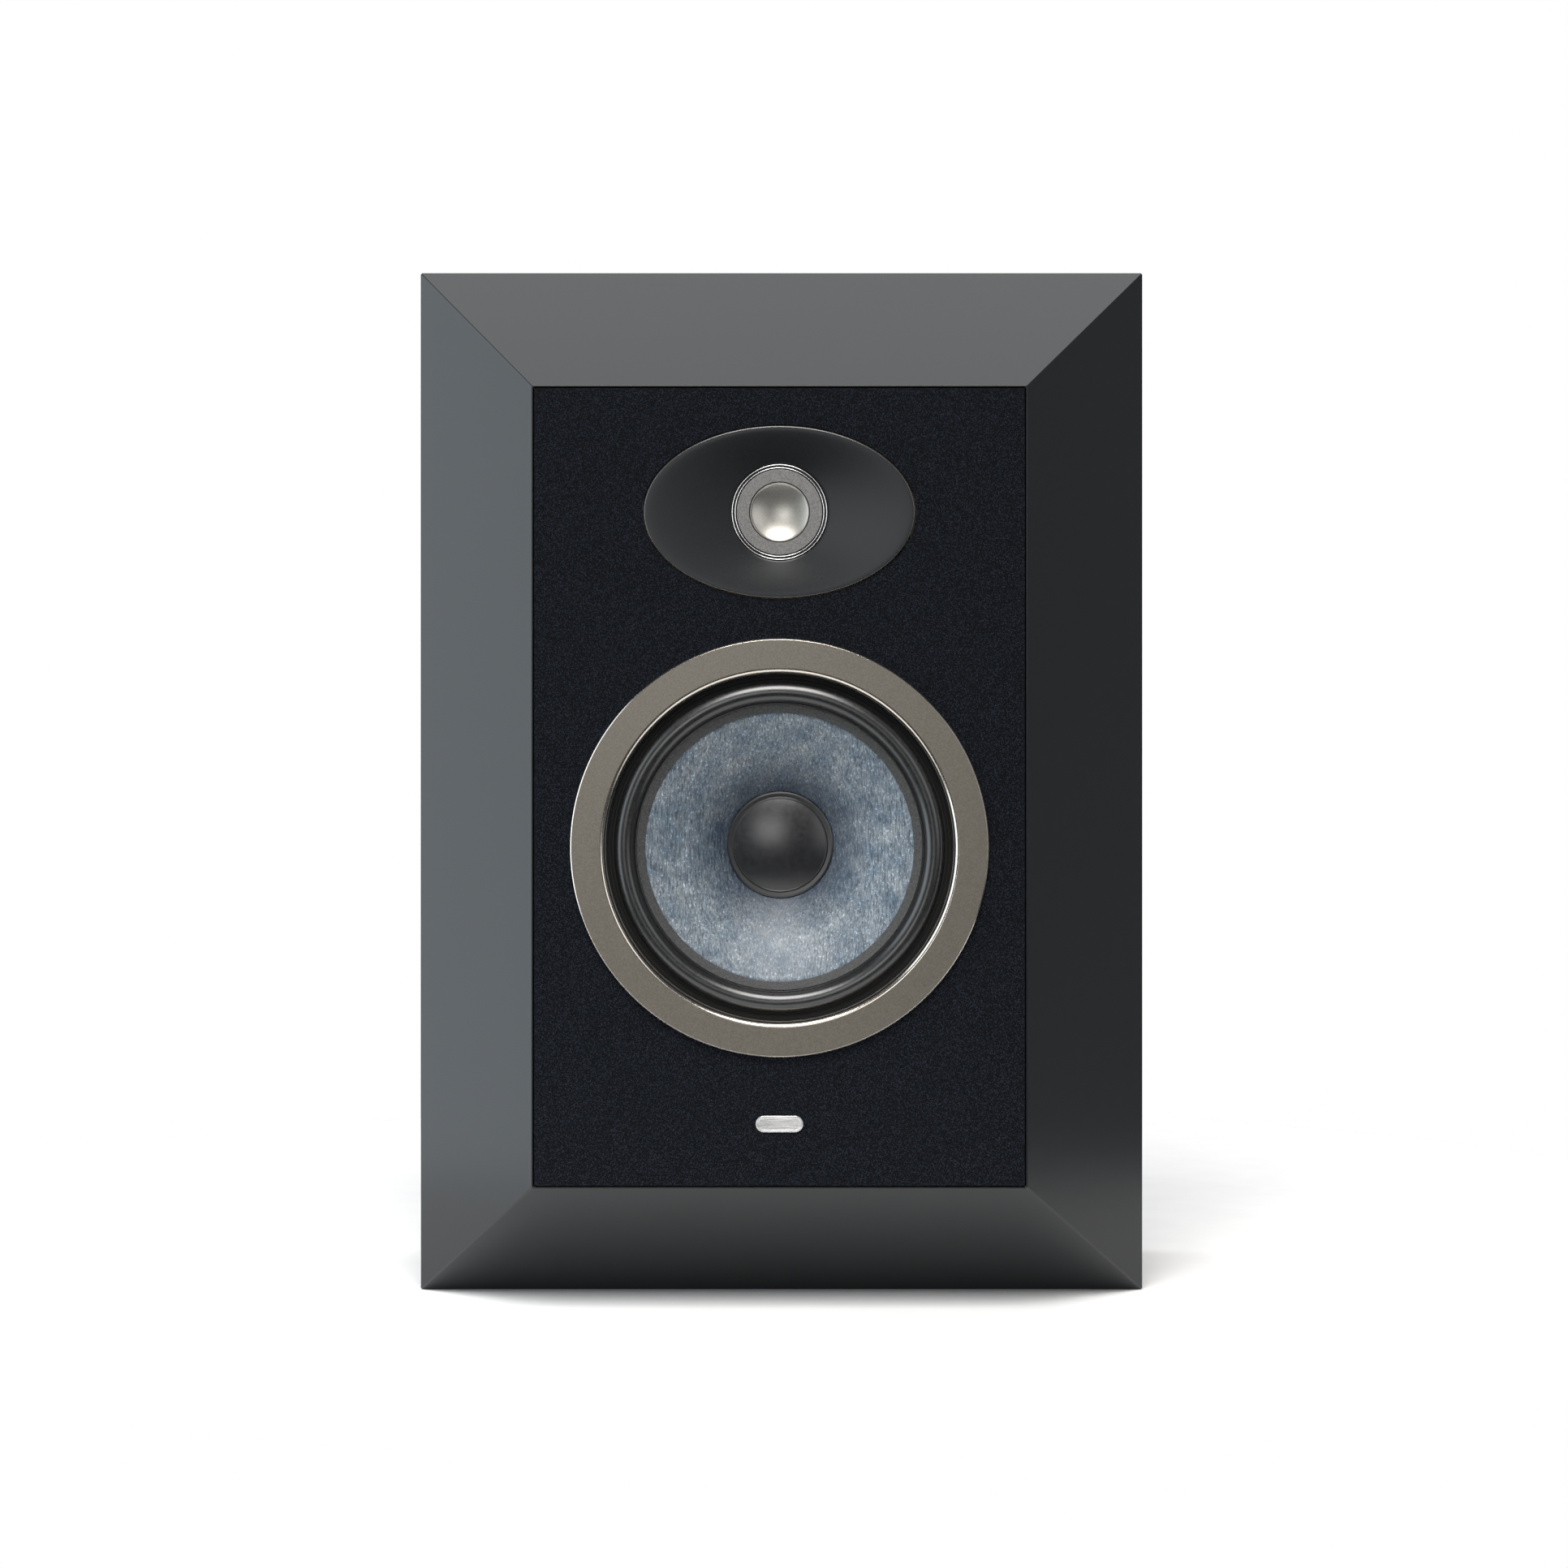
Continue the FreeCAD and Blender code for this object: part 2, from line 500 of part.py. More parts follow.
def make_woofer_motor():
    z = "woofer_z"
    magnet_a = "seat_a + plate_t"
    yoke_a = magnet_a + " + magnet_t"
    tube("woofer_top_plate", "motor_gap_r", "plate_r", "seat_a", magnet_a, z)
    tube("woofer_magnet", "magnet_in", "magnet_r", magnet_a, yoke_a, z)
    turned("woofer_yoke", [
        ("vent_r", "seat_a"), ("pole_r", "seat_a"), ("pole_r", yoke_a), ("yoke_r", yoke_a),
        ("yoke_r", yoke_a + " + plate_t"), ("vent_r", yoke_a + " + plate_t")], z=z)
    strip = new_body("woofer_terminals", y=FACE_Y + " + seat_a", z="woofer_z - plate_r")
    pad(strip, rectangle(sketch(strip, "XZ_Plane", "-8"), "-11", "-2.2", "11", "-0.2"), "18")
    for x in ("-7", "7"):
        tab = rectangle(sketch(strip, "XZ_Plane", "6"), x + " - 3.15", "-3", x + " + 3.15", "-2.2")
        pad(strip, tab, "12")


# ---------------------------------------------------------------- tweeter


def make_tweeter_front():
    z = "tweeter_z"
    plate = new_body("tweeter_faceplate", y=FACE_Y + " - oval_up", z=z)
    pad(plate, oval(sketch(plate, "XZ_Plane"), "oval_w", "oval_tall"), "oval_t")
    mouth = oval(sketch(plate, "XZ_Plane"), "oval_w - 2 * oval_rim", "oval_tall - 2 * oval_rim")
    throat = circles(sketch(plate, "XZ_Plane", "horn_d"), [("0", "0")], "horn_r")
    made, before = feature(plate, "SubtractiveLoft", mouth, Sections=[throat])
    recomputed(plate, made, before, True)
    pocket(plate, circles(sketch(plate, "XZ_Plane"), [("0", "0")], "horn_r"), "well_d")
    through(plate, circles(sketch(plate, "XZ_Plane"), [("0", "0")], "throat_r"))
    bosses = [("-boss_x", "0"), ("boss_x", "0")]
    pocket(plate, circles(sketch(plate, "XZ_Plane", "oval_t - 3"), bosses, "pilot_r"), "3")
    well = "(well_d - oval_up)"
    turned("tweeter_chrome_ring", [
        ("chrome_in", well), ("chrome_in", well + " - chrome_t"),
        ("chrome_in + 0.3", well + " - chrome_t - 0.2"), ("chrome_in + 0.6", well + " - chrome_t - 0.2"),
        ("chrome_in + 0.8", well + " - chrome_t + 0.6"),
        ("chrome_r - 0.8", well + " - chrome_t + 0.6"), ("chrome_r - 0.6", well + " - chrome_t - 0.2"),
        ("chrome_r - 0.3", well + " - chrome_t - 0.2"), ("chrome_r", well + " - chrome_t"),
        ("chrome_r", well)], z=z)
    tube("tweeter_front_ring", "front_ring_in", "front_ring_r", well + " - chrome_t",
         well + " - chrome_t + front_ring_t", z)
    fixings = new_body("faceplate_screws", y=FACE_Y, z=z)
    shanks = circles(sketch(fixings, "XZ_Plane", "oval_t - oval_up - 2.8"), bosses, "screw_r")
    pad(fixings, shanks, "baffle_t + skin_t - oval_t + oval_up + 2.8")
    pad(fixings, circles(sketch(fixings, "XZ_Plane", "baffle_t + skin_t"), bosses, "head_r"), "screw_r")


def make_tweeter_dome():
    z = "tweeter_z"
    bowl = "(dome_r ^ 2 + dome_dip ^ 2) / (2 * dome_dip)"
    turned("tweeter_dome", [
        ("dome_r", "dome_a", bowl), ("0", "dome_a + dome_dip"), ("0", "dome_a + dome_dip + dome_t"),
        ("0.5", "dome_a + dome_dip + dome_t", "-(%s)" % bowl), ("dome_r", "dome_a + dome_t * 1.3")], z=z)
    tube("tweeter_coil", "dome_r - tweeter_coil_t", "dome_r", "dome_a + 3 * dome_t",
         "dome_a + tweeter_coil_len", z)
    tube("tweeter_suspension", "dome_r + 0.2", "hanger_out", "dome_a + 0.9", "dome_a + 0.9 + hanger_t", z)


def make_tweeter_motor():
    z = "tweeter_z"
    plate_a = "(oval_t - oval_up)"
    magnet_a = plate_a + " + tweeter_plate_t"
    yoke_a = magnet_a + " + tweeter_magnet_t"
    tube("tweeter_top_plate", "tweeter_gap_r", "tweeter_motor_r", plate_a, magnet_a, z)
    tube("tweeter_magnet", "tweeter_magnet_in", "tweeter_motor_r", magnet_a, yoke_a, z)
    turned("tweeter_yoke", [
        ("2", plate_a + " + 2"), ("tweeter_pole_r", plate_a + " + 2"), ("tweeter_pole_r", yoke_a),
        ("tweeter_motor_r", yoke_a), ("tweeter_motor_r", yoke_a + " + tweeter_yoke_t"),
        ("2", yoke_a + " + tweeter_yoke_t")], z=z)
    cap_a = yoke_a + " + tweeter_yoke_t"
    turned("tweeter_rear_cap", [
        ("rear_cap_r - 1.5", cap_a), ("rear_cap_r", cap_a), ("rear_cap_r", cap_a + " + rear_cap_d"),
        ("0", cap_a + " + rear_cap_d"), ("0", cap_a + " + rear_cap_d - 1.5"),
        ("rear_cap_r - 1.5", cap_a + " + rear_cap_d - 1.5")], z=z)


# ---------------------------------------------------------------- crossover

BOARD_Y = "(rim_d / 2 - wall - spacer_len - board_t)"


def make_crossover():
    holes = corners_of("board_w / 2 - board_inset", "board_tall / 2 - board_inset")
    board = new_body("crossover_board", y=BOARD_Y, z="board_z")
    pad(board, rounded_box(sketch(board, "XZ_Plane"), "board_w", "board_tall", "3"), "board_t")
    through(board, circles(sketch(board, "XZ_Plane"), holes, "small_r + 0.1"))
    fixings = new_body("board_fixings", y=BOARD_Y, z="board_z")
    pad(fixings, circles(sketch(fixings, "XZ_Plane", "board_t"), holes, "small_head_r"), "spacer_len")
    pad(fixings, circles(sketch(fixings, "XZ_Plane", "-8"), holes, "small_r"), "8 + board_t")
    pad(fixings, circles(sketch(fixings, "XZ_Plane", "-1.8"), holes, "small_head_r"), "1.8")
    coils = [("-45", "19"), ("45", "-19")]
    spools = new_body("coil_spools", y=BOARD_Y + " - spool_len", z="board_z")
    pad(spools, circles(sketch(spools, "XZ_Plane"), coils, "spool_in"), "spool_len")
    for level in ("0", "spool_len - spool_lip"):
        pad(spools, circles(sketch(spools, "XZ_Plane", level), coils, "spool_r"), "spool_lip")
    through(spools, circles(sketch(spools, "XZ_Plane"), coils, "spool_in - 2"))
    copper = new_body("coil_windings", y=BOARD_Y + " - spool_len + spool_lip", z="board_z")
    pad(copper, circles(sketch(copper, "XZ_Plane"), coils, "spool_r - 1"), "spool_len - 2 * spool_lip")
    through(copper, circles(sketch(copper, "XZ_Plane"), coils, "spool_in"))
    films = new_body("capacitors", x="-film_len / 2 + 4", y=BOARD_Y + " - film_r", z="board_z")
    row = sketch(films, "YZ_Plane")
    circles(row, [("0", "film_gap * %s" % step) for step in ("1.25", "0.2", "-1.35")], "film_r")
    pad(films, row, "film_len")
    resistors = new_body("resistors", x="-45", y=BOARD_Y + " - block_resistor", z="board_z")
    drawing = sketch(resistors, "XZ_Plane")
    for low in ("-20", "-34"):
        rectangle(drawing, "-resistor_len / 2 + 4", low, "resistor_len / 2 + 4", low + " + block_resistor")
    pad(resistors, drawing, "block_resistor")


def run_of_wire(route, radius):
    """A round wire of straight runs joined by tangent arcs, each as large as its two runs allow."""
    points = [Vector(value(x), value(y), value(z)) for x, y, z in route]
    edges = []
    start = points[0]
    for before, corner, after in zip(points, points[1:], points[2:]):
        back = before - corner
        onward = after - corner
        run = 0.45 * min(back.Length, onward.Length)
        back.normalize()
        onward.normalize()
        middle = (back + onward).normalize()
        bend = run * math.tan(back.getAngle(onward) / 2)
        nearest = corner + middle * ((bend ** 2 + run ** 2) ** 0.5 - bend)
        edges.append(Part.LineSegment(start, corner + back * run).toShape())
        edges.append(Part.Arc(corner + back * run, nearest, corner + onward * run).toShape())
        start = corner + onward * run
    edges.append(Part.LineSegment(start, points[-1]).toShape())
    ring = Part.Wire(Part.makeCircle(radius, points[0], points[1] - points[0]))
    return Part.Wire(edges).makePipeShell([ring], True, False)


def wiring(label, routes, radius):
    """One piece of wiring from the routes of its wires."""
    item = doc.addObject("Part::Feature", label)
    item.Label = label
    item.Shape = Part.makeCompound([run_of_wire(route, value(radius)) for route in routes])
    item.Placement = Placement()
    pieces.append(item)
    return item


def make_cables():
    """Each runs from the board's edge to its driver or, for the first, from the terminals to the board."""
    board_low = "board_z - board_tall / 2 - 4"
    board_top = "board_z + board_tall / 2 + 4"
    behind = BOARD_Y + " - 3"
    lug_y = BACK_Y + " - cup_d - cup_t - nut_t"
    wiring("input_cable", [[
        ("0", lug_y, "cup_z + 17"), ("0", lug_y + " - 6", "cup_z + 32"), ("4", lug_y + " - 5", "cup_z + 48"),
        ("9", lug_y + " + 4", "cup_z + 60"), ("12", behind, board_low + " + 2")]], "cable_r")
    wiring("woofer_cable", [[
        ("-20", behind, board_low), ("-24", behind + " - 4", "board_z - 64"), ("-26", "0", "board_z - 82"),
        ("-22", "-22", "board_z - 92"), ("-12", "-40", "woofer_z - plate_r - 26"),
        ("-4", "-54", "woofer_z - plate_r - 14"), ("0", "-60", "woofer_z - plate_r - 3")]], "cable_r")
    wiring("tweeter_cable", [[
        ("20", behind, board_top), ("22", behind + " - 4", "board_z + 62"), ("24", "4", "brace_z - 4"),
        ("22", "-14", "brace_z + 18"), ("16", "-36", "brace_z + 34"),
        ("8", "-56", "tweeter_z - 8"), ("4", "-70", "tweeter_z - 2"),
        ("2", FACE_Y + " + oval_t + tweeter_plate_t + tweeter_magnet_t + tweeter_yoke_t + rear_cap_d + 1",
         "tweeter_z")]], "cable_r")
    leads = []
    for side in ("", "-"):
        leads.append([(side + x, "%s + %s" % (FACE_Y, depth), "woofer_z - %s" % drop) for x, depth, drop in (
            ("8", "41.4", "51.6"), ("11", "37", "53.5"), ("14", "31", "47"), ("13", "27.5", "37"),
            ("8", "25.2", "26.5"))])
    wiring("woofer_leads", leads, "lead_r")


# ---------------------------------------------------------------- terminals


def cup_screw_places():
    return corners_of("(cup_w + cup_lip) / 2 - 1", "(cup_tall + cup_lip) / 2 - 1")


def make_cup():
    cup = new_body("terminal_cup", y=BACK_Y, z="cup_z")
    lip = rounded_box(sketch(cup, "XZ_Plane", "-cup_lip_t"), "cup_w + 2 * cup_lip",
                      "cup_tall + 2 * cup_lip", "cup_corner")
    pad(cup, lip, "cup_lip_t")
    bowl = rounded_box(sketch(cup, "XZ_Plane", "-cup_d - cup_t"), "cup_w + 2 * cup_t",
                       "cup_tall + 2 * cup_t", "cup_corner")
    pad(cup, bowl, "cup_d + cup_t - cup_lip_t")
    pocket(cup, rounded_box(sketch(cup, "XZ_Plane", "-cup_d"), "cup_w", "cup_tall", "cup_corner - cup_t"),
           "cup_d + " + str(SLACK))
    through(cup, circles(sketch(cup, "XZ_Plane"), post_centres(), "post_r + 0.1"))
    through(cup, circles(sketch(cup, "XZ_Plane"), cup_screw_places(), "small_r + 0.1"))
    sinks = circles(sketch(cup, "XZ_Plane", "small_r - small_head_r"), cup_screw_places(), "small_r + 0.1")
    pocket(cup, sinks, "small_head_r - small_r", TaperAngle=45)
    screws("cup_screws", cup_screw_places(), "small_head_r", "small_r", "16", BACK_Y, "cup_z")


def post_centres():
    return [("-post_gap / 2", "0"), ("post_gap / 2", "0")]


def make_posts():
    """Threaded posts with a socket in the tip, a fixed seat, and a clamp that screws down on it."""
    seat_y = "(collar_t - cup_d)"
    washer_y = seat_y + " + seat_t + play"
    knob_y = washer_y + " + washer_t + play"
    tip_y = knob_y + " + knob_len + 0.4"
    posts = new_body("binding_posts", y=BACK_Y, z="cup_z")
    shafts = circles(sketch(posts, "XZ_Plane", "-cup_d - cup_t - post_in"), post_centres(), "post_r")
    pad(posts, shafts, "cup_d + cup_t + post_in + " + tip_y)
    pad(posts, circles(sketch(posts, "XZ_Plane", seat_y), post_centres(), "seat_r"), "seat_t")
    pocket(posts, circles(sketch(posts, "XZ_Plane", tip_y + " - socket_d"), post_centres(), "socket_r"),
           "socket_d + " + str(SLACK))
    wire = [(x, seat_y + " + seat_t + wire_hole_r + 0.3") for x, z in post_centres()]
    through(posts, circles(sketch(posts, "XY_Plane"), wire, "wire_hole_r"))
    collars = new_body("post_collars", y=BACK_Y + " - cup_d", z="cup_z")
    pad(collars, circles(sketch(collars, "XZ_Plane"), post_centres(), "collar_r"), "collar_t")
    through(collars, circles(sketch(collars, "XZ_Plane"), post_centres(), "post_r"))
    nuts = new_body("post_nuts", y=BACK_Y + " - cup_d - cup_t - nut_t", z="cup_z")
    drawing = sketch(nuts, "XZ_Plane")
    for x, z in post_centres():
        outline(drawing, [("%s + nut_r * cos(%d)" % (x, turn), "nut_r * sin(%d)" % turn)
                          for turn in range(0, 360, 60)])
    pad(nuts, drawing, "nut_t")
    lugs = sketch(nuts, "XZ_Plane", "-lug_t")
    for x, z in post_centres():
        rectangle(lugs, x + " - 3.5", "-4", x + " + 3.5", "14")
    pad(nuts, lugs, "lug_t")
    through(nuts, circles(sketch(nuts, "XZ_Plane"), post_centres(), "post_r"))
    for colour, x in (("red", "post_gap / 2"), ("black", "-post_gap / 2")):
        washer_end = washer_y + " + washer_t"
        tube(colour + "_washer", "post_r + play", "seat_r", washer_y, washer_end, "cup_z", x, BACK_Y)
        make_knob(colour + "_knob", knob_y, x)


def make_knob(label, knob_y, x):
    end_y = knob_y + " + knob_len"
    knob = turned(label, [
        ("post_r + play", knob_y), ("seat_r", knob_y), ("seat_r", knob_y + " + 1"),
        ("knob_r", knob_y + " + 2"), ("knob_r", end_y + " - 1"), ("knob_r - 1", end_y),
        ("post_r + play", end_y)], x, BACK_Y, "cup_z")
    flute = circles(sketch(knob, "XZ_Plane", knob_y + " + 2.5"), [("knob_r + 0.3", "0")], "0.9")
    repeat_round(knob, pocket(knob, flute, "knob_len"), flute, "flutes")


def failures():
    """Every object that did not compute, and every piece without a sound shape."""
    wrong = [item.Name for item in doc.Objects if {"Invalid", "Error"} & set(item.State)]
    wrong += [piece.Label for piece in pieces if piece.Shape.isNull() or not piece.Shape.isValid()
              or not piece.Shape.Solids]
    return wrong


def main():
    make_panels()
    make_baffle()
    make_back_panel()
    make_brace()
    make_corner_blocks()
    make_wadding()
    make_badge()
    screws("back_panel_screws", panel_screw_places(), "head_r", "screw_r", "34", BACK_Y, "box_h / 2")
    make_woofer_frame()
    make_woofer_diaphragm()
    make_woofer_motor()
    make_tweeter_front()
    make_tweeter_dome()
    make_tweeter_motor()
    make_crossover()
    make_cup()
    make_posts()
    make_cables()
    doc.recompute()
    wrong = failures()
    if wrong:
        raise RuntimeError("not sound: " + ", ".join(wrong))
    os.makedirs("parts", exist_ok=True)
    for piece in pieces:
        piece.Shape.exportStep(os.path.join("parts", piece.Label + ".step"))
        box = piece.Shape.BoundBox
        print("%-22s %3d solids  y %7.2f %7.2f  z %7.2f %7.2f  %10.1f mm3" % (
            piece.Label, len(piece.Shape.Solids), box.YMin, box.YMax, box.ZMin, box.ZMax, piece.Shape.Volume))


main()
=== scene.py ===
import json
import math
import random
import bpy
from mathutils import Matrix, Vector
from mathutils.geometry import tessellate_polygon


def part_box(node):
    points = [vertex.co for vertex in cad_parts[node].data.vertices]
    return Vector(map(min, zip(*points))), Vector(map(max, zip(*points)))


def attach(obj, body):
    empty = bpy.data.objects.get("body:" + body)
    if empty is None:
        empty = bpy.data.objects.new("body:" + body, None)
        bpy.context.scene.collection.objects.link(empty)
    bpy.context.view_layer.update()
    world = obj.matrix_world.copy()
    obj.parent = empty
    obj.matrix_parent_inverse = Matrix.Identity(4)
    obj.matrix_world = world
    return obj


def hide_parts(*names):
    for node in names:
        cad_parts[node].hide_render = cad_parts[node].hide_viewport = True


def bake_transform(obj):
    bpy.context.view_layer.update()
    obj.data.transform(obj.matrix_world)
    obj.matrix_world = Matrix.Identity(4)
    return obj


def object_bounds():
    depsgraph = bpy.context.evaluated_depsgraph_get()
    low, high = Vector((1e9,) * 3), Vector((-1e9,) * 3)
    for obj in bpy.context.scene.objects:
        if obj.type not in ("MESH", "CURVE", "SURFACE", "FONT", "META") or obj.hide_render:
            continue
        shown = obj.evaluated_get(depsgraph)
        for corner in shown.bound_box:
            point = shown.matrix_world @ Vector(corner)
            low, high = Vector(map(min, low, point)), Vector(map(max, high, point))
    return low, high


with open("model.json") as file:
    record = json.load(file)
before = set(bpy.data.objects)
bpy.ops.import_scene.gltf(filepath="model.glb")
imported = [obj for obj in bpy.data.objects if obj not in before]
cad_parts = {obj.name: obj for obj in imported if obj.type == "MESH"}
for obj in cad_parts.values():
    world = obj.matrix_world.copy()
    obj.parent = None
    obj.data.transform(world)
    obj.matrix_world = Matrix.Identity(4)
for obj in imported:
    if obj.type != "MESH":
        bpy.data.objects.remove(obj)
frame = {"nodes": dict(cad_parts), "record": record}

# A two-way bookshelf speaker. Shapes are worked out in millimetres and turned into metres in build().
# Depths run backwards from the front face of the baffle; radii are about each driver's own axis.
MM = 0.001
CAD_BOX = [list(corner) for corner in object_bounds()]
HIGH = Vector(CAD_BOX[1]) / MM
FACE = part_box("baffle_skin")[0].y / MM
BACK = HIGH.y
HALF_W = HIGH.x
HALF_H = HIGH.z / 2


def centre_of(node):
    low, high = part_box(node)
    return (low + high) / 2 / MM


WOOFER = centre_of("woofer_trim_ring")
TWEETER = centre_of("tweeter_faceplate")
CUP = centre_of("terminal_cup")
BADGE = centre_of("badge_plate")


# ---------------------------------------------------------------- materials


def mixed(links, nodes, source, low, high, dark, light):
    """A colour that runs from dark to light as a texture's value runs from low to high."""
    ramp = nodes.new("ShaderNodeValToRGB")
    ramp.color_ramp.elements[0].position = low
    ramp.color_ramp.elements[1].position = high
    ramp.color_ramp.elements[0].color = (*dark, 1)
    ramp.color_ramp.elements[1].color = (*light, 1)
    links.new(source, ramp.inputs["Fac"])
    return ramp.outputs["Color"]


def noise_at(links, nodes, scale, detail=3.0, rough=0.55, stretch=(1, 1, 1), twist=0.0):
    """A noise texture fixed to the object, with its scale in cycles per metre."""
    place = nodes.new("ShaderNodeTexCoord")
    frame_of = nodes.new("ShaderNodeMapping")
    frame_of.inputs["Scale"].default_value = stretch
    links.new(place.outputs["Object"], frame_of.inputs["Vector"])
    noise = nodes.new("ShaderNodeTexNoise")
    noise.inputs["Scale"].default_value = scale
    noise.inputs["Detail"].default_value = detail
    noise.inputs["Roughness"].default_value = rough
    noise.inputs["Distortion"].default_value = twist
    links.new(frame_of.outputs["Vector"], noise.inputs["Vector"])
    return noise.outputs["Fac"]


def ranged(links, nodes, source, low, high, start=0.3, end=0.7):
    span = nodes.new("ShaderNodeMapRange")
    span.inputs["From Min"].default_value = start
    span.inputs["From Max"].default_value = end
    span.inputs["To Min"].default_value = low
    span.inputs["To Max"].default_value = high
    links.new(source, span.inputs["Value"])
    return span.outputs["Result"]


def finish(name, dark, light, rough, grain=1500, detail=3.0, spread=(0.35, 0.65), stretch=(1, 1, 1),
           metal=0.0, bump=0.02, bump_grain=None, level=0.5, coat=0.0, coat_rough=0.1, sheen=0.0, twist=0.0):
    """A surface with a grain of two tones, a roughness that varies with it and a fine relief of bump mm."""
    material = bpy.data.materials.new(name)
    material.use_nodes = True
    nodes, links = material.node_tree.nodes, material.node_tree.links
    shader = nodes["Principled BSDF"]
    shader.inputs["Metallic"].default_value = metal
    shader.inputs["Specular IOR Level"].default_value = level
    shader.inputs["Coat Weight"].default_value = coat
    shader.inputs["Coat Roughness"].default_value = coat_rough
    shader.inputs["Sheen Weight"].default_value = sheen
    tone = noise_at(links, nodes, grain, detail, stretch=stretch, twist=twist)
    links.new(mixed(links, nodes, tone, *spread, dark, light), shader.inputs["Base Color"])
    links.new(ranged(links, nodes, tone, rough[0], rough[1]), shader.inputs["Roughness"])
    relief = noise_at(links, nodes, bump_grain or grain, detail, stretch=stretch)
    lift = nodes.new("ShaderNodeBump")
    lift.inputs["Distance"].default_value = bump * MM
    links.new(relief, lift.inputs["Height"])
    links.new(lift.outputs["Normal"], shader.inputs["Normal"])
    return material


def grey(value, warm=0.0):
    return (value * (1 + warm), value, value * (1 - warm))


LACQUER = finish("lacquer", (0.0075, 0.0090, 0.0102), (0.0135, 0.0155, 0.0170), (0.18, 0.24), grain=1800,
                 bump=0.012, bump_grain=2600, level=0.32)
SKIN = finish("face_skin", (0.0004, 0.0008, 0.0018), (0.0165, 0.0210, 0.0310), (0.75, 0.95), grain=1900,
              detail=2.0, spread=(0.48, 0.70), bump=0.12, level=0.12)
RING = finish("ring_metal", (0.168, 0.152, 0.128), (0.218, 0.200, 0.169), (0.34, 0.42), grain=1700, metal=0.8,
              bump=0.012)
RUBBER = finish("surround_rubber", (0.006, 0.0065, 0.007), (0.011, 0.0115, 0.012), (0.27, 0.31), grain=700,
                bump=0.003, bump_grain=1500, level=0.9)
# Painted shade: a darker, duller copy of the surround rubber for its outer land, standing in for the shade in the
# recess under the trim ring.
LAND_PAINTED_SHADE = finish("surround_land_painted_shade", grey(0.0022), grey(0.0040), (0.55, 0.7), grain=900, bump=0.01, level=0.25)
LIP = finish("surround_lip", (0.022, 0.023, 0.024), (0.058, 0.059, 0.058), (0.36, 0.5), grain=1300, bump=0.05,
             level=0.6)
CAP = finish("cap_black", (0.004, 0.0043, 0.0055), (0.007, 0.0075, 0.009), (0.28, 0.33), grain=500,
             bump=0.003, bump_grain=2000, level=0.95)
PLATE = finish("faceplate_black", (0.0055, 0.0064, 0.0076), (0.0090, 0.0102, 0.0120), (0.30, 0.36),
               grain=2000, bump=0.006, level=0.36)
# Painted highlight: a lighter, shinier copy of the black plate finish for the plate's rounded edge, painting a
# bright line along it.
PLATE_EDGE_HIGHLIGHT = finish("faceplate_edge_painted_highlight", grey(0.05), grey(0.09), (0.22, 0.30), grain=2000, metal=0.4, bump=0.004,
                   level=0.8)
# Painted shade: a near-black, dull ring for the groove between the two bright beads of the tweeter's metal ring,
# standing in for the shade in that groove.
GROOVE_PAINTED_SHADE = finish("groove_painted_shade", (0.003, 0.003, 0.003), (0.006, 0.006, 0.006), (0.5, 0.6), grain=2000,
                    bump=0.01)
RING_BEVEL = finish("ring_bevel", (0.62, 0.57, 0.50), (0.74, 0.69, 0.62), (0.16, 0.24), grain=1500, metal=1.0,
                    bump=0.004)
CHROME = finish("bright_ring", grey(0.72, 0.01), grey(0.82, 0.01), (0.12, 0.20), grain=900, metal=1.0,
                bump=0.002)
FRONT_RING = finish("front_ring_grey", grey(0.10, 0.03), grey(0.24, 0.03), (0.45, 0.6), grain=2200,
                    spread=(0.3, 0.7), bump=0.04, metal=0.35)
DOME = finish("dome_metal", (0.38, 0.37, 0.335), (0.48, 0.465, 0.43), (0.33, 0.38), grain=2500, metal=0.9,
              bump=0.008)
BADGE_METAL = finish("badge_metal", grey(0.60, 0.01), grey(0.78, 0.01), (0.30, 0.45), grain=2000,
                     stretch=(0.06, 1, 1), metal=0.9, bump=0.006)
BACK_BOARD = finish("back_board", grey(0.010), grey(0.030), (0.55, 0.75), grain=1300, bump=0.08)
RAW_BOARD = finish("raw_board", (0.30, 0.20, 0.11), (0.46, 0.33, 0.20), (0.8, 0.95), grain=900, bump=0.08)
BLACK_SCREW = finish("black_screws", grey(0.02), grey(0.05), (0.28, 0.42), grain=1500, metal=0.6, bump=0.006)
ZINC = finish("zinc_screws", grey(0.42), grey(0.60), (0.25, 0.4), grain=1500, metal=1.0, bump=0.006)
PLASTIC = finish("black_plastic", grey(0.014), grey(0.026), (0.42, 0.56), grain=1800, bump=0.04)
GOLD = finish("gold_plate", (0.72, 0.47, 0.14), (0.85, 0.60, 0.22), (0.14, 0.24), grain=1200, metal=1.0,
              bump=0.004)
RED_CAP = finish("knob_red", (0.36, 0.008, 0.010), (0.46, 0.014, 0.016), (0.22, 0.32), grain=900, bump=0.01,
                 coat=0.3)
BLACK_CAP = finish("knob_black", grey(0.012), grey(0.020), (0.22, 0.32), grain=900, bump=0.01, coat=0.3)
WADDING = finish("wadding", grey(0.45, 0.04), grey(0.72, 0.03), (0.9, 1.0), grain=350, detail=8.0, bump=1.2,
                 sheen=0.4, twist=1.5)
CLOTH = finish("spider_cloth", (0.42, 0.29, 0.13), (0.60, 0.44, 0.22), (0.7, 0.9), grain=1800, bump=0.1)
HANGER = finish("hanger_cloth", grey(0.03), grey(0.06), (0.7, 0.85), grain=2000, bump=0.05)
LEAD = finish("lead_wire", (0.50, 0.46, 0.38), (0.74, 0.70, 0.60), (0.3, 0.5), grain=1500, stretch=(1, 1, 3),
              metal=0.9, bump=0.08)
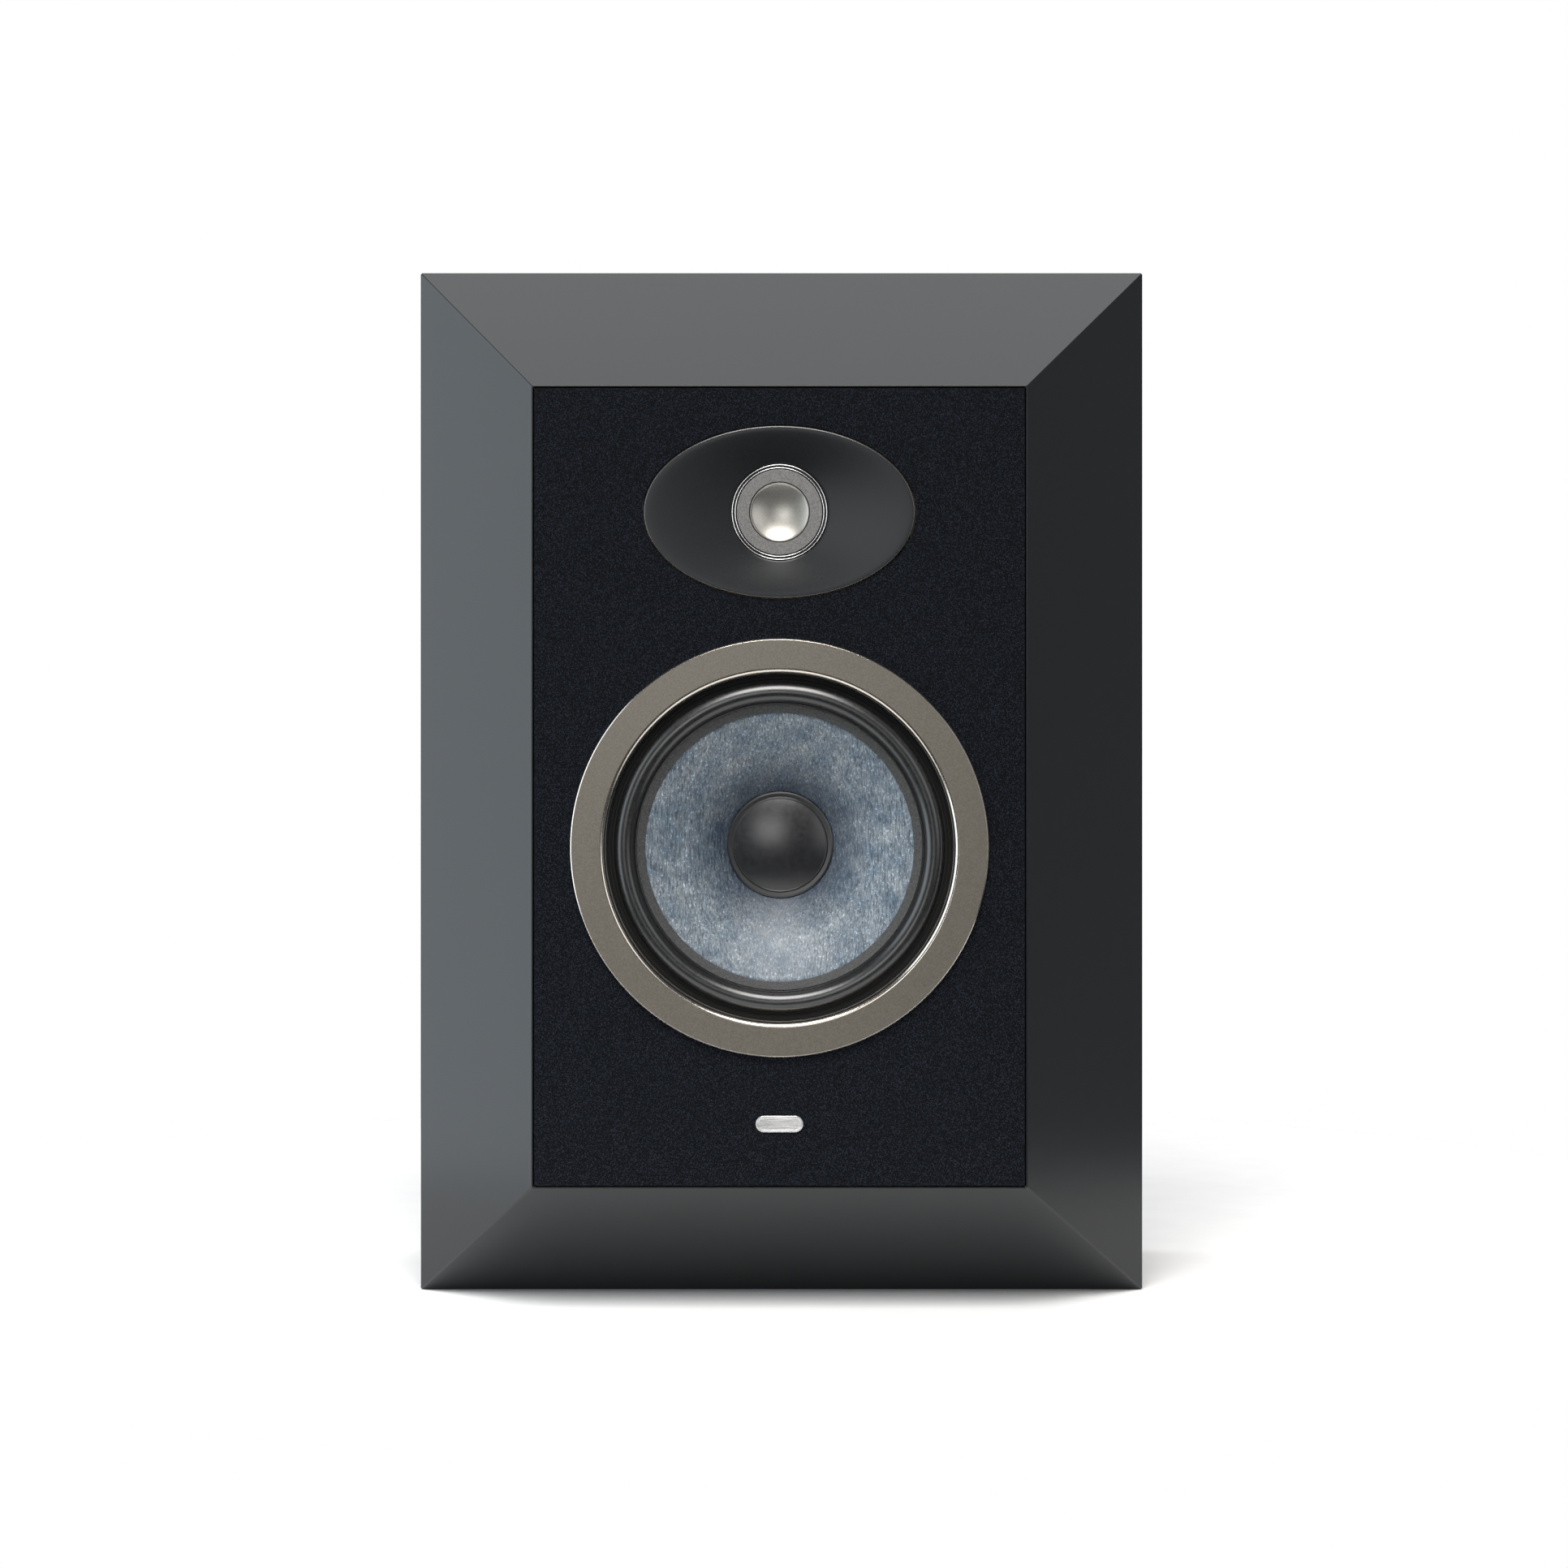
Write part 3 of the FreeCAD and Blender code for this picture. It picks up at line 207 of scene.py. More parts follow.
CARRIED = {
    "basket_metal": finish("basket_metal", grey(0.30), grey(0.38), (0.45, 0.6), grain=800, metal=0.8, bump=0.05),
    "foam": finish("foam", grey(0.03), grey(0.08), (0.9, 1.0), grain=1500, bump=0.2),
    "former_metal": finish("former_metal", grey(0.6), grey(0.75), (0.25, 0.4), stretch=(1, 0.1, 1),
                           metal=1.0),
    "copper": finish("copper", (0.55, 0.22, 0.09), (0.80, 0.38, 0.20), (0.25, 0.4), grain=900,
                     stretch=(0.1, 3, 0.1), metal=1.0, bump=0.1),
    "steel": finish("steel", grey(0.42), grey(0.55), (0.3, 0.45), grain=1000, metal=1.0),
    "ferrite": finish("ferrite", grey(0.03), grey(0.06), (0.6, 0.8), grain=1200, bump=0.06),
    "terminal_board": finish("terminal_board", (0.22, 0.12, 0.05), (0.32, 0.19, 0.09), (0.5, 0.7)),
    "board_green": finish("board_green", (0.010, 0.10, 0.035), (0.016, 0.17, 0.06), (0.3, 0.45), grain=600,
                          coat=0.3),
    "film_cap": finish("film_cap", (0.50, 0.36, 0.04), (0.62, 0.46, 0.07), (0.25, 0.4), grain=500, coat=0.4),
    "cement": finish("cement", grey(0.60, 0.02), grey(0.76, 0.02), (0.8, 0.95), grain=1500, bump=0.15),
    "cable_jacket": finish("cable_jacket", grey(0.06), grey(0.10), (0.45, 0.6), grain=1200, bump=0.03),
    "face_skin": SKIN, "raw_board": RAW_BOARD, "back_board": BACK_BOARD, "zinc_screws": ZINC,
    "black_screws": BLACK_SCREW, "black_plastic": PLASTIC, "gold_plate": GOLD,
}


def multiplied(links, nodes, first, second):
    product = nodes.new("ShaderNodeMix")
    product.data_type = "RGBA"
    product.blend_type = "MULTIPLY"
    product.inputs["Factor"].default_value = 1.0
    links.new(first, product.inputs["A"])
    links.new(second, product.inputs["B"])
    return product.outputs["Result"]


def pulp_finish():
    """Pressed paper pulp: slate in clouds, upright fibres, pale flecks, and painted shade that darkens the cone
    round the cap.
    """
    material = bpy.data.materials.new("cone_pulp")
    material.use_nodes = True
    nodes, links = material.node_tree.nodes, material.node_tree.links
    shader = nodes["Principled BSDF"]
    shader.inputs["Specular IOR Level"].default_value = 0.45
    clouds = noise_at(links, nodes, 110, 5.0, 0.65)
    fibres = noise_at(links, nodes, 1000, 4.0, 0.7, stretch=(1.5, 1, 0.22), twist=0.5)
    flecks = noise_at(links, nodes, 1400, 3.0, 0.6, stretch=(1, 1, 0.7))
    colour = mixed(links, nodes, clouds, 0.34, 0.66, (0.084, 0.118, 0.156), (0.200, 0.224, 0.245))
    colour = multiplied(links, nodes, colour,
                        mixed(links, nodes, fibres, 0.36, 0.66, (0.36, 0.38, 0.42), (1.60, 1.60, 1.56)))
    colour = multiplied(links, nodes, colour,
                        mixed(links, nodes, flecks, 0.57, 0.68, (0.93, 0.93, 0.93), (2.3, 2.4, 2.5)))
    # Painted shade: a spherical gradient about the woofer's axis darkens the cone near the dust cap, standing in
    # for the cap's shadow and the shaded hollow round it.
    place = nodes.new("ShaderNodeTexCoord")
    about = nodes.new("ShaderNodeMapping")
    reach = 45.0
    about.inputs["Scale"].default_value = (1 / (reach * MM), 0, 1 / (reach * MM))
    about.inputs["Location"].default_value = (-WOOFER.x / reach, 0, -WOOFER.z / reach)
    links.new(place.outputs["Object"], about.inputs["Vector"])
    nearness = nodes.new("ShaderNodeTexGradient")
    nearness.gradient_type = "SPHERICAL"
    links.new(about.outputs["Vector"], nearness.inputs["Vector"])
    painted_cap_shade = mixed(links, nodes, nearness.outputs["Fac"], 0.10, 0.48, (1.0, 1.0, 1.0), (0.27, 0.30, 0.36))
    colour = multiplied(links, nodes, colour, painted_cap_shade)
    links.new(colour, shader.inputs["Base Color"])
    links.new(ranged(links, nodes, fibres, 0.34, 0.50), shader.inputs["Roughness"])
    lift = nodes.new("ShaderNodeBump")
    lift.inputs["Distance"].default_value = 0.09 * MM
    links.new(fibres, lift.inputs["Height"])
    links.new(lift.outputs["Normal"], shader.inputs["Normal"])
    return material


PULP = pulp_finish()


# ---------------------------------------------------------------- shapes


def outline(corners, closed=True, steps=6):
    """Points (a, b, normal a, normal b) along a polygon. A corner (a, b, radius) becomes an arc, and a plain
    (a, b) is a point of a smooth curve. Normals point out of the polygon."""
    places = [Vector(corner[:2]) for corner in corners]
    count = len(places)
    area = sum(places[i - 1].x * places[i].y - places[i].x * places[i - 1].y for i in range(count))
    side = 1 if area > 0 else -1
    points = []
    for i, here in enumerate(places):
        first, last = not closed and i == 0, not closed and i == count - 1
        inward = (here - places[i - 1]).normalized() if not first else (places[1] - here).normalized()
        onward = (places[(i + 1) % count] - here).normalized() if not last else inward
        radius = corners[i][2] if len(corners[i]) > 2 else 0
        if radius and not first and not last:
            half = (-inward).angle(onward) / 2
            reach = radius / math.tan(half)
            middle = here + (onward - inward).normalized() * (radius / math.sin(half))
            start = here - inward * reach - middle
            turn = inward.x * onward.y - inward.y * onward.x
            total = (math.pi - 2 * half) * (1 if turn > 0 else -1)
            for k in range(steps + 1):
                angle = total * k / steps
                spoke = Vector((start.x * math.cos(angle) - start.y * math.sin(angle),
                                start.x * math.sin(angle) + start.y * math.cos(angle)))
                sign = side if turn > 0 else -side
                points.append((*(middle + spoke), *(spoke.normalized() * sign)))
        else:
            along = (inward + onward).normalized()
            points.append((here.x, here.y, along.y * side, -along.x * side))
    return points


def build(name, points, faces, material, body="cabinet", nodes=(), normals=None, bevel=True,
          fixed=True):
    """A piece from points in mm. Normals turn the faces outward and, on a piece that doesn't flex, set its
    shading exactly. Without them, and on one that flexes, flats keep flat shading unless bevel is off."""
    mesh = bpy.data.meshes.new(name)
    mesh.from_pydata([[value * MM for value in point] for point in points], [], faces)
    mesh.materials.append(material)
    mesh.polygons.foreach_set("use_smooth", [True] * len(mesh.polygons))
    mesh.update()
    piece = bpy.data.objects.new(name, mesh)
    bpy.context.scene.collection.objects.link(piece)
    if normals:
        wrong = [face.index for face in mesh.polygons
                 if sum((Vector(normals[v]) for v in face.vertices), Vector()).dot(face.normal) < 0]
        for number in wrong:
            mesh.polygons[number].flip()
        mesh.update()
    if normals and fixed:
        mesh.normals_split_custom_set_from_vertices(normals)
    elif bevel:
        piece.modifiers.new("flats", "WEIGHTED_NORMAL").weight = 60
    if body:
        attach(piece, body)
    if nodes:
        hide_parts(*nodes)
    return piece


def lathe_mesh(profile, centre, base, start=0.0, sweep=360.0, turns=192, closed=True):
    """Points, faces and normals of an outline of (radius, depth) turned about an axis along Y. An open
    outline starts and ends on the axis, where it is closed with a very small disc."""
    whole = sweep == 360.0
    columns = turns if whole else turns + 1
    points, normals, faces, rows = [], [], [], []
    for radius, depth, out, back in profile:
        if radius < 0.2:
            radius, out, back = 0.2, 0, 1 if back > 0 else -1
        rows.append(list(range(len(points), len(points) + columns)))
        for k in range(columns):
            angle = math.radians(start + sweep * k / turns)
            across, up = math.cos(angle), math.sin(angle)
            points.append((centre.x + radius * across, base + depth, centre.z + radius * up))
            normals.append((out * across, back, out * up))
    for i in range(len(rows) if closed else len(rows) - 1):
        this, after = rows[i], rows[(i + 1) % len(rows)]
        for k in range(turns):
            faces.append((this[k], this[(k + 1) % columns], after[(k + 1) % columns], after[k]))
    if not closed:
        faces += [rows[0], rows[-1]]
    return points, faces, normals


def lathe(name, corners, centre, material, body="cabinet", nodes=(), base=None, closed=True, turns=192,
          steps=6):
    """A turned piece. An open outline starts and ends on the axis."""
    profile = outline(corners, closed, steps)
    points, faces, normals = lathe_mesh(profile, centre, FACE if base is None else base, turns=turns,
                                        closed=closed)
    return build(name, points, faces, material, body, nodes, normals)


def curve(start, end, radius, count):
    """Points on an arc between two places. A positive radius bulges to the left of the way there."""
    start, end = Vector(start), Vector(end)
    chord = end - start
    left = Vector((-chord.y, chord.x)).normalized()
    side = 1 if radius > 0 else -1
    reach = math.sqrt(radius * radius - chord.length_squared / 4)
    middle = (start + end) / 2 - left * side * reach
    first = math.atan2(start.y - middle.y, start.x - middle.x)
    sweep = -side * 2 * math.asin(chord.length / 2 / abs(radius))
    return [tuple(middle + abs(radius) * Vector((math.cos(first + sweep * k / count),
                                                 math.sin(first + sweep * k / count))))
            for k in range(count + 1)]


def tint_faces(piece, centre, material, low, high):
    """Another material for the faces whose distance from the axis is between low and high."""
    piece.data.materials.append(material)
    for face in piece.data.polygons:
        if low < math.hypot(face.center.x / MM - centre.x, face.center.z / MM - centre.z) < high:
            face.material_index = len(piece.data.materials) - 1


def sectors(name, corners, centre, material, count=72, turns=4, nodes=(), steps=4,
            second=None):
    """A flexing ring built in equal sectors, each one a separate piece that is attached to no body. Its
    shading comes from a weighted-normal modifier, and a ring that shows needs many narrow sectors to look
    smooth."""
    profile = outline(corners, True, steps)
    for k in range(count):
        start = 360 / count * k
        points, faces, normals = lathe_mesh(profile, centre, FACE, start, 360 / count, turns)
        piece = build("%s_%02d" % (name, k + 1), points, faces, material, None, (), normals,
                      fixed=False)
        if second:
            tint_faces(piece, centre, second[0], *second[1:])
        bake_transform(piece)
        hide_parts(*nodes)


def grid_faces(rows, columns, around=True, ends=False):
    """Quads between rows of points that are numbered one after another."""
    faces = []
    for i in range(rows if ends else rows - 1):
        below, above = i * columns, (i + 1) % rows * columns
        for k in range(columns if around else columns - 1):
            after = (k + 1) % columns
            faces.append((below + k, below + after, above + after, above + k))
    return faces


# ---------------------------------------------------------------- cabinet

RIM = -55.0
WALL = 12.0
BEVEL_IN = 54.5
CORNER = 0.8
FOLD_STEPS = 10
MITRE_DIP = 0.22
FOLD_INSIDE = -50.78
SLOPE_INSIDE = -103.8


def board(name, corners, half_long, half_out, along, out, node):
    """A mitred board. Its outline is (y, distance in from the outside). It starts halfway round the fold,
    where rim and slope boards meet, and its long edges are rounded into those of its neighbours."""
    profile = outline(corners, False, FOLD_STEPS)[1 + FOLD_STEPS // 2:]
    points, normals = [], []
    columns = [(-1, degrees) for degrees in (45, 27, 18, 9, 0)] + [(1, degrees) for degrees in (0, 9, 18, 27, 45)]
    for end, degrees in columns:
        lean, rise = math.sin(math.radians(degrees)), math.cos(math.radians(degrees))
        radius = CORNER - MITRE_DIP if degrees == 45 else CORNER
        for y, inset, normal_y, normal_in in profile:
            far = end * (half_long - inset - CORNER + radius * lean)
            high = half_out - inset - CORNER + radius * rise
            spot = Vector((0, y, HALF_H)) + along * far + out * high
            points.append(tuple(spot))
            normals.append(tuple(Vector((0, normal_y, 0)) - (along * end * lean + out * rise) * normal_in))
    size = len(profile)
    faces = grid_faces(len(columns), size)
    for end, first in ((-1, 0), (1, (len(columns) - 1) * size)):
        cap = list(range(len(points), len(points) + size))
        points += points[first:first + size]
        normals += [tuple((along - out) * end)] * size
        faces.append(cap)
    return build(name, points, faces, LACQUER, "cabinet", [node], normals)


def make_cabinet():
    x, z = Vector((1, 0, 0)), Vector((0, 0, 1))
    sides = (("top", HALF_W, HALF_H, x, z), ("base", HALF_W, HALF_H, x, -z),
             ("right", HALF_H, HALF_W, z, x), ("left", HALF_H, HALF_W, z, -x))
    fold = (RIM, 0, 2.0)
    for side, half_long, half_out, along, out in sides:
        rim = [(FACE, BEVEL_IN), fold, (BACK, 0, 0.9), (BACK, WALL, 0.3), (FOLD_INSIDE, WALL)]
        board(side + "_rim_board", rim, half_long, half_out, along, out, side + "_panel")
        slope = [(BACK, 0), fold, (FACE, BEVEL_IN, 0.45), (SLOPE_INSIDE, BEVEL_IN, 0.3), (FOLD_INSIDE, WALL)]
        board(side + "_slope_board", slope, half_long, half_out, along, out, side + "_slope")


def soft_pad(name, low, high, seed):
    """A pad of loose fibre: rounded all over, thinner at its edges, with lumps."""
    chance = random.Random(seed)
    middle, half = (low + high) / 2, (high - low) / 2
    lumps = [(chance.uniform(0.03, 0.06), chance.uniform(0.05, 0.09), chance.uniform(0, 6)) for _ in range(3)]
    points, rows, columns = [], 25, 96
    for i in range(rows):
        tilt = math.pi * (i / (rows - 1) - 0.5)
        for k in range(columns):
            turn = 2 * math.pi * k / columns
            wide = math.copysign(abs(math.cos(turn)) ** 0.35, math.cos(turn)) * max(math.cos(tilt), 0.001) ** 0.4
            tall = math.copysign(abs(math.sin(turn)) ** 0.35, math.sin(turn)) * max(math.cos(tilt), 0.001) ** 0.4
            spot_x, spot_z = wide * half.x, tall * half.z
            lump = sum(math.sin(spot_x * a + phase) * math.sin(spot_z * b + phase)
                       for a, b, phase in lumps) / 3
            thick = math.sin(tilt) * half.y * (0.86 + 0.13 * lump)
            points.append((middle.x + spot_x * 0.98, middle.y + thick, middle.z + spot_z * 0.98))
    piece = build(name, points, grid_faces(rows, columns), WADDING, "cabinet", ["damping_wadding"])
    return piece


def make_insides():
    """One pad above the shelf brace and one below the terminal cup."""
    low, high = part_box("damping_wadding")
    front, behind = low.y / MM, high.y / MM
    half_wide, above_brace, below_cup = 115, 306, 63
    soft_pad("wadding_upper", Vector((-half_wide, front, above_brace)),
             Vector((half_wide, behind, high.z / MM)), 3)
    soft_pad("wadding_lower", Vector((-half_wide, front, low.z / MM)), Vector((half_wide, behind, below_cup)),
             5)


def pill(half_wide, half_tall, inset, count):
    """Points round a bar with half-round ends."""
    radius = half_tall - inset
    straight = half_wide - half_tall
    return [(math.cos(2 * math.pi * k / count) * radius + (straight if k < count / 4 or k >= count * 3 / 4
             else -straight), math.sin(2 * math.pi * k / count) * radius) for k in range(count)]


def make_badge():
    """A blank plate: a bar with half-round ends, a raised face and a rounded edge."""
    low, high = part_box("badge_plate")
    half_wide, half_tall, thick = (high.x - low.x) / 2 / MM, (high.z - low.z) / 2 / MM, (high.y - low.y) / MM
    count = 64
    levels = [(0.0, thick), (0.0, 0.35)]
    levels += [(0.35 - 0.35 * math.cos(math.radians(15 * k)), 0.35 - 0.35 * math.sin(math.radians(15 * k)))
               for k in range(1, 7)]
    levels += [(0.9, 0.0), (1.1, 0.12), (1.3, 0.12)]
    points = []
    for inset, level in levels:
        for across, up in pill(half_wide, half_tall, inset, count):
            points.append((BADGE.x + across, low.y / MM + level, BADGE.z + up))
    faces = grid_faces(len(levels), count)
    faces.append(tuple(range(len(points) - count, len(points))))
    build("badge_bar", points, faces, BADGE_METAL, "cabinet", ["badge_plate"])


# ---------------------------------------------------------------- screws


SHARP_ANGLE = 35
HEAD_POINTS = 40
HEAD_CIRCLES = 4
CROSS_POINTS = 12


def cross_head(radius, thick, arm, slot_depth, turn):
    """A flat screw head that faces +Y at the origin, with a cross recess."""
    def circle(size, level):
        return [(size * math.cos(2 * math.pi * k / HEAD_POINTS), level,
                 size * math.sin(2 * math.pi * k / HEAD_POINTS)) for k in range(HEAD_POINTS)]

    def cross(reach, level):
        half = reach * 0.27
        plan = [(reach, half), (half, half), (half, reach), (-half, reach), (-half, half), (-reach, half),
                (-reach, -half), (-half, -half), (-half, -reach), (half, -reach), (half, -half),
                (reach, -half)]
        return [(a * math.cos(turn) - b * math.sin(turn), level, a * math.sin(turn) + b * math.cos(turn))
                for a, b in plan]

    points = circle(radius - thick, -thick) + circle(radius, -0.25) + circle(radius - 0.06, -0.08)
    points += circle(radius - 0.25, 0.0)
    faces = grid_faces(HEAD_CIRCLES, HEAD_POINTS)
    top = (HEAD_CIRCLES - 1) * HEAD_POINTS
    rim = [Vector((p[0], p[2], 0)) for p in points[top:top + HEAD_POINTS]]
    recess = cross(arm, 0.0)
    hole = [Vector((p[0], p[2], 0)) for p in recess]
    first = len(points)
    points += recess
    for tri in tessellate_polygon([rim, hole]):
        faces.append(tuple(top + i if i < HEAD_POINTS else first + i - HEAD_POINTS for i in tri))
    points += cross(arm * 0.62, -slot_depth)
    floor = first + CROSS_POINTS
    for k in range(CROSS_POINTS):
        after = (k + 1) % CROSS_POINTS
        faces.append((first + k, first + after, floor + after, floor + k))
    faces.append(tuple(floor + k for k in range(CROSS_POINTS)))
    return points, faces


def screw_group(name, centres, radius, shank, length, material, node, seed):
    """Countersunk screws along Y with their heads level with the back."""
    chance = random.Random(seed)
    points, faces = [], []
    thick = radius - shank
    for x, z in centres:
        head, sides = cross_head(radius - 0.05, thick, radius * 0.55, thick * 0.75,
                                 chance.uniform(0, math.pi / 2))
        shank_rows = []
        for level in (-thick, -length + 3, -length):
            size = shank if level > -length else 0.4
            shank_rows += [(size * math.cos(2 * math.pi * k / HEAD_POINTS), level,
                            size * math.sin(2 * math.pi * k / HEAD_POINTS)) for k in range(HEAD_POINTS)]
        for shape, links in ((head, sides), (shank_rows, grid_faces(3, HEAD_POINTS))):
            first = len(points)
            points += [(x + p[0], BACK + p[1], z + p[2]) for p in shape]
            faces += [tuple(first + i for i in face) for face in links]
    piece = build(name, points, faces, material, "cabinet", [node], bevel=False)
    edges = piece.modifiers.new("edges", "EDGE_SPLIT")
    edges.split_angle = math.radians(SHARP_ANGLE)


# ---------------------------------------------------------------- woofer


def make_woofer():
    ring = lathe("woofer_ring", [(73.5, 3.6, 0.2), (73.5, -2.5, 2.1), (87.35, -2.5, 0.15),
                                 (87.8, -2.05, 0.15), (87.8, 0, 0.1), (74.5, 0, 0.1), (74.5, 3.6, 0.1)],
                 WOOFER, RING, nodes=["woofer_trim_ring"], turns=256, steps=10)
    tint_faces(ring, WOOFER, RING_BEVEL, 70, 75.3)
    tint_faces(ring, WOOFER, RING_BEVEL, 87.3, 90)
    roll = curve((69.6, 3.4), (60.9, 3.4), 4.36, 28)[1:-1]
    under = curve((61.8, 3.4), (68.7, 3.4), -3.46, 20)[1:-1]
    # The outer land, beyond 69.65 mm, takes the darker copy of the rubber that paints the shade of the recess
    # under the trim ring.
    sectors("woofer_surround", [
        (73.2, 3.5, 0.3), (72.5, 3.5, 0.2), (72.15, 3.1, 0.25), (71.8, 3.5, 0.2), (71.2, 3.5, 0.2),
        (70.85, 3.1, 0.25), (70.5, 3.5, 0.2), (69.7, 3.5, 0.15)]
        + roll + [(60.85, 3.85, 0.25), (60.35, 3.85, 0.1), (60.3, 3.4, 0.15), (60.2, 3.4, 0.04),
                  (60.15, 4.25, 0.04), (61.7, 4.25, 0.2)] + under + [(68.8, 4.3, 0.2), (73.2, 4.3, 0.2)],
        WOOFER, RUBBER, nodes=["woofer_surround"],
        second=(LAND_PAINTED_SHADE, 69.65, 80))
    lathe("woofer_lip", [
        (60.15, 3.4, 0.12), (56.7, 4.05, 0.12), (56.5, 4.25, 0.03), (60.15, 4.25, 0.05)], WOOFER, LIP,
        "woofer_cone_body", turns=256)
    front = curve((56.8, 4.5), (19.3, 27.6), 120, 28)
    behind = curve((19.3, 28.6), (56.8, 5.5), -120, 28)
    lathe("woofer_cone_pulp", [(60.2, 4.5, 0.1)] + front + behind + [(60.2, 5.5, 0.1)], WOOFER, PULP,
          "woofer_cone_body", ["woofer_cone"], turns=256)
    dome = curve((0, 20.8), (19.6, 23.62), -69.5, 24)
    lathe("woofer_cap", dome[:-1] + [
        (19.6, 23.62, 0.1), (19.75, 23.4, 0.1), (20.05, 23.45, 0.1), (20.3, 24.0, 0.25), (21.9, 23.9, 0.3),
        (22.6, 24.1, 0.15), (22.6, 24.5, 0.1), (20.0, 24.5, 0.1), (0, 21.5)], WOOFER, CAP,
        "woofer_cone_body", ["woofer_dust_cap"], closed=False)


def make_spider():
    waves = 5
    span = (22.5, 42.5)
    front = [(19.5, 39.0, 0.1)]
    samples = 60
    for k in range(samples + 1):
        share = k / samples
        front.append((span[0] + (span[1] - span[0]) * share,
                      39.0 + 1.1 * math.sin(2 * math.pi * waves * share)))
    front.append((45.5, 39.0, 0.1))
    back = [(corner[0], corner[1] + 0.55, *corner[2:]) for corner in reversed(front)]
    sectors("woofer_spider", front + back, WOOFER, CLOTH,
            nodes=["woofer_spider"], count=24, turns=6)


def tube_along(name, places, radius, material):
    """A round tube along one smooth curve through the run of places."""
    line = bpy.data.curves.new(name + "_line", "CURVE")
    line.dimensions = "3D"
    spline = line.splines.new("NURBS")
    spline.points.add(len(places) - 1)
    for point, place in zip(spline.points, places):
        point.co = (*[value * MM for value in place], 1)
    spline.order_u = 3
    spline.use_endpoint_u = True
    line.resolution_u = 12
    line.bevel_depth = radius * MM
    line.bevel_resolution = 4
    line.use_fill_caps = True
    holder = bpy.data.objects.new(name + "_line", line)
    bpy.context.scene.collection.objects.link(holder)
    bpy.context.view_layer.update()
    mesh = bpy.data.meshes.new_from_object(holder.evaluated_get(bpy.context.evaluated_depsgraph_get()))
    bpy.data.objects.remove(holder)
    mesh.name = name
    mesh.materials.clear()
    mesh.materials.append(material)
    piece = bpy.data.objects.new(name, mesh)
    bpy.context.scene.collection.objects.link(piece)
    return piece


def make_leads():
    for side, label in ((1, "right"), (-1, "left")):
        places = [(side * x, FACE + depth, WOOFER.z - drop) for x, depth, drop in (
            (8, 41.4, 51.6), (11, 37, 53.5), (14, 31, 47), (13, 27.5, 37), (8, 25.2, 26.5))]
        piece = tube_along("woofer_lead_" + label, places, 0.6, LEAD)
        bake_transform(piece)
        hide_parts("woofer_leads")


# ---------------------------------------------------------------- tweeter


def make_faceplate():
    """An oval plate with a rounded edge, dished towards a round well."""
    half_wide, half_tall = 57.0, 36.2
    rows = [(half_wide, half_tall, 5.0), (half_wide, half_tall, -0.3)]
    edge_radius, edge_steps = 0.7, 8
    for k in range(1, edge_steps + 1):
        angle = math.radians(90 * k / edge_steps)
        inset = edge_radius * (1 - math.cos(angle))
        rows.append((half_wide - inset, half_tall - inset, -0.3 - edge_radius * math.sin(angle)))
    mouth = (half_wide - 1.6, half_tall - 1.6)
    rows.append((*mouth, -1.0))
    well, dish_depth, dish_steps = 20.7, 2.9, 28
    for k in range(1, dish_steps + 1):
        share = k / dish_steps
        rows.append((mouth[0] + (well - mouth[0]) * share, mouth[1] + (well - mouth[1]) * share,
                     -1.0 + dish_depth * share ** 1.25))
    rows += [(20.45, 20.45, 2.05), (20.4, 20.4, 2.4), (20.4, 20.4, 4.0), (16.5, 16.5, 4.0), (16.5, 16.5, 5.0)]
    turns = 256
    points = []
    for wide, tall, depth in rows:
        for k in range(turns):
            angle = 2 * math.pi * k / turns
            points.append((TWEETER.x + wide * math.cos(angle), FACE + depth,
                           TWEETER.z + tall * math.sin(angle)))
    plate = build("tweeter_plate", points, grid_faces(len(rows), turns, ends=True), PLATE,
                  "cabinet", ["tweeter_faceplate"])
    # The rows of the rounded edge take the lighter copy that paints a highlight line round the plate.
    plate.data.materials.append(PLATE_EDGE_HIGHLIGHT)
    first_highlight_row, last_highlight_row = 3, 7
    for face in plate.data.polygons:
        if first_highlight_row <= face.index // turns <= last_highlight_row:
            face.material_index = 1


def make_tweeter():
    make_faceplate()
    # The groove between the beads is the near-black ring that paints its shade.
    lathe("tweeter_well_ring", [(18.2, 4.0, 0.1), (18.2, 2.5, 0.1), (20.35, 2.5, 0.1), (20.35, 4.0, 0.1)],
          TWEETER, GROOVE_PAINTED_SHADE, nodes=["tweeter_chrome_ring"])
    for label, radius in (("inner", 18.65), ("outer", 19.90)):
        lathe("tweeter_bright_ring_" + label, [(radius - 0.18, 3.0, 0.05), (radius - 0.18, 1.65, 0.16),
                                               (radius + 0.18, 1.65, 0.16), (radius + 0.18, 3.0, 0.05)],
              TWEETER, CHROME, nodes=["tweeter_chrome_ring"], steps=10)
    lathe("tweeter_grey_ring", [
        (12.8, 1.8, 0.12), (18.0, 1.8, 0.2), (18.0, 2.8, 0.1), (12.8, 2.8, 0.1)], TWEETER, FRONT_RING,
        nodes=["tweeter_front_ring"])
    bowl = curve((12.0, 2.5), (0, 5.2), -28, 24)
    behind = curve((0, 5.5), (11.8, 2.9), 28, 24)
    lathe("tweeter_bowl", list(reversed(bowl)) + [(12.1, 2.25, 0.1), (12.4, 2.25, 0.12), (12.4, 2.9, 0.1)]
          + list(reversed(behind)), TWEETER, DOME, "tweeter_dome_body", ["tweeter_dome"],
          closed=False)
    sectors("tweeter_suspension", [
        (12.6, 3.3, 0.05), (16.0, 3.3, 0.05), (16.0, 3.6, 0.05), (12.6, 3.6, 0.05)], TWEETER, HANGER,
        count=12, turns=8, nodes=["tweeter_suspension"])


# ---------------------------------------------------------------- terminals


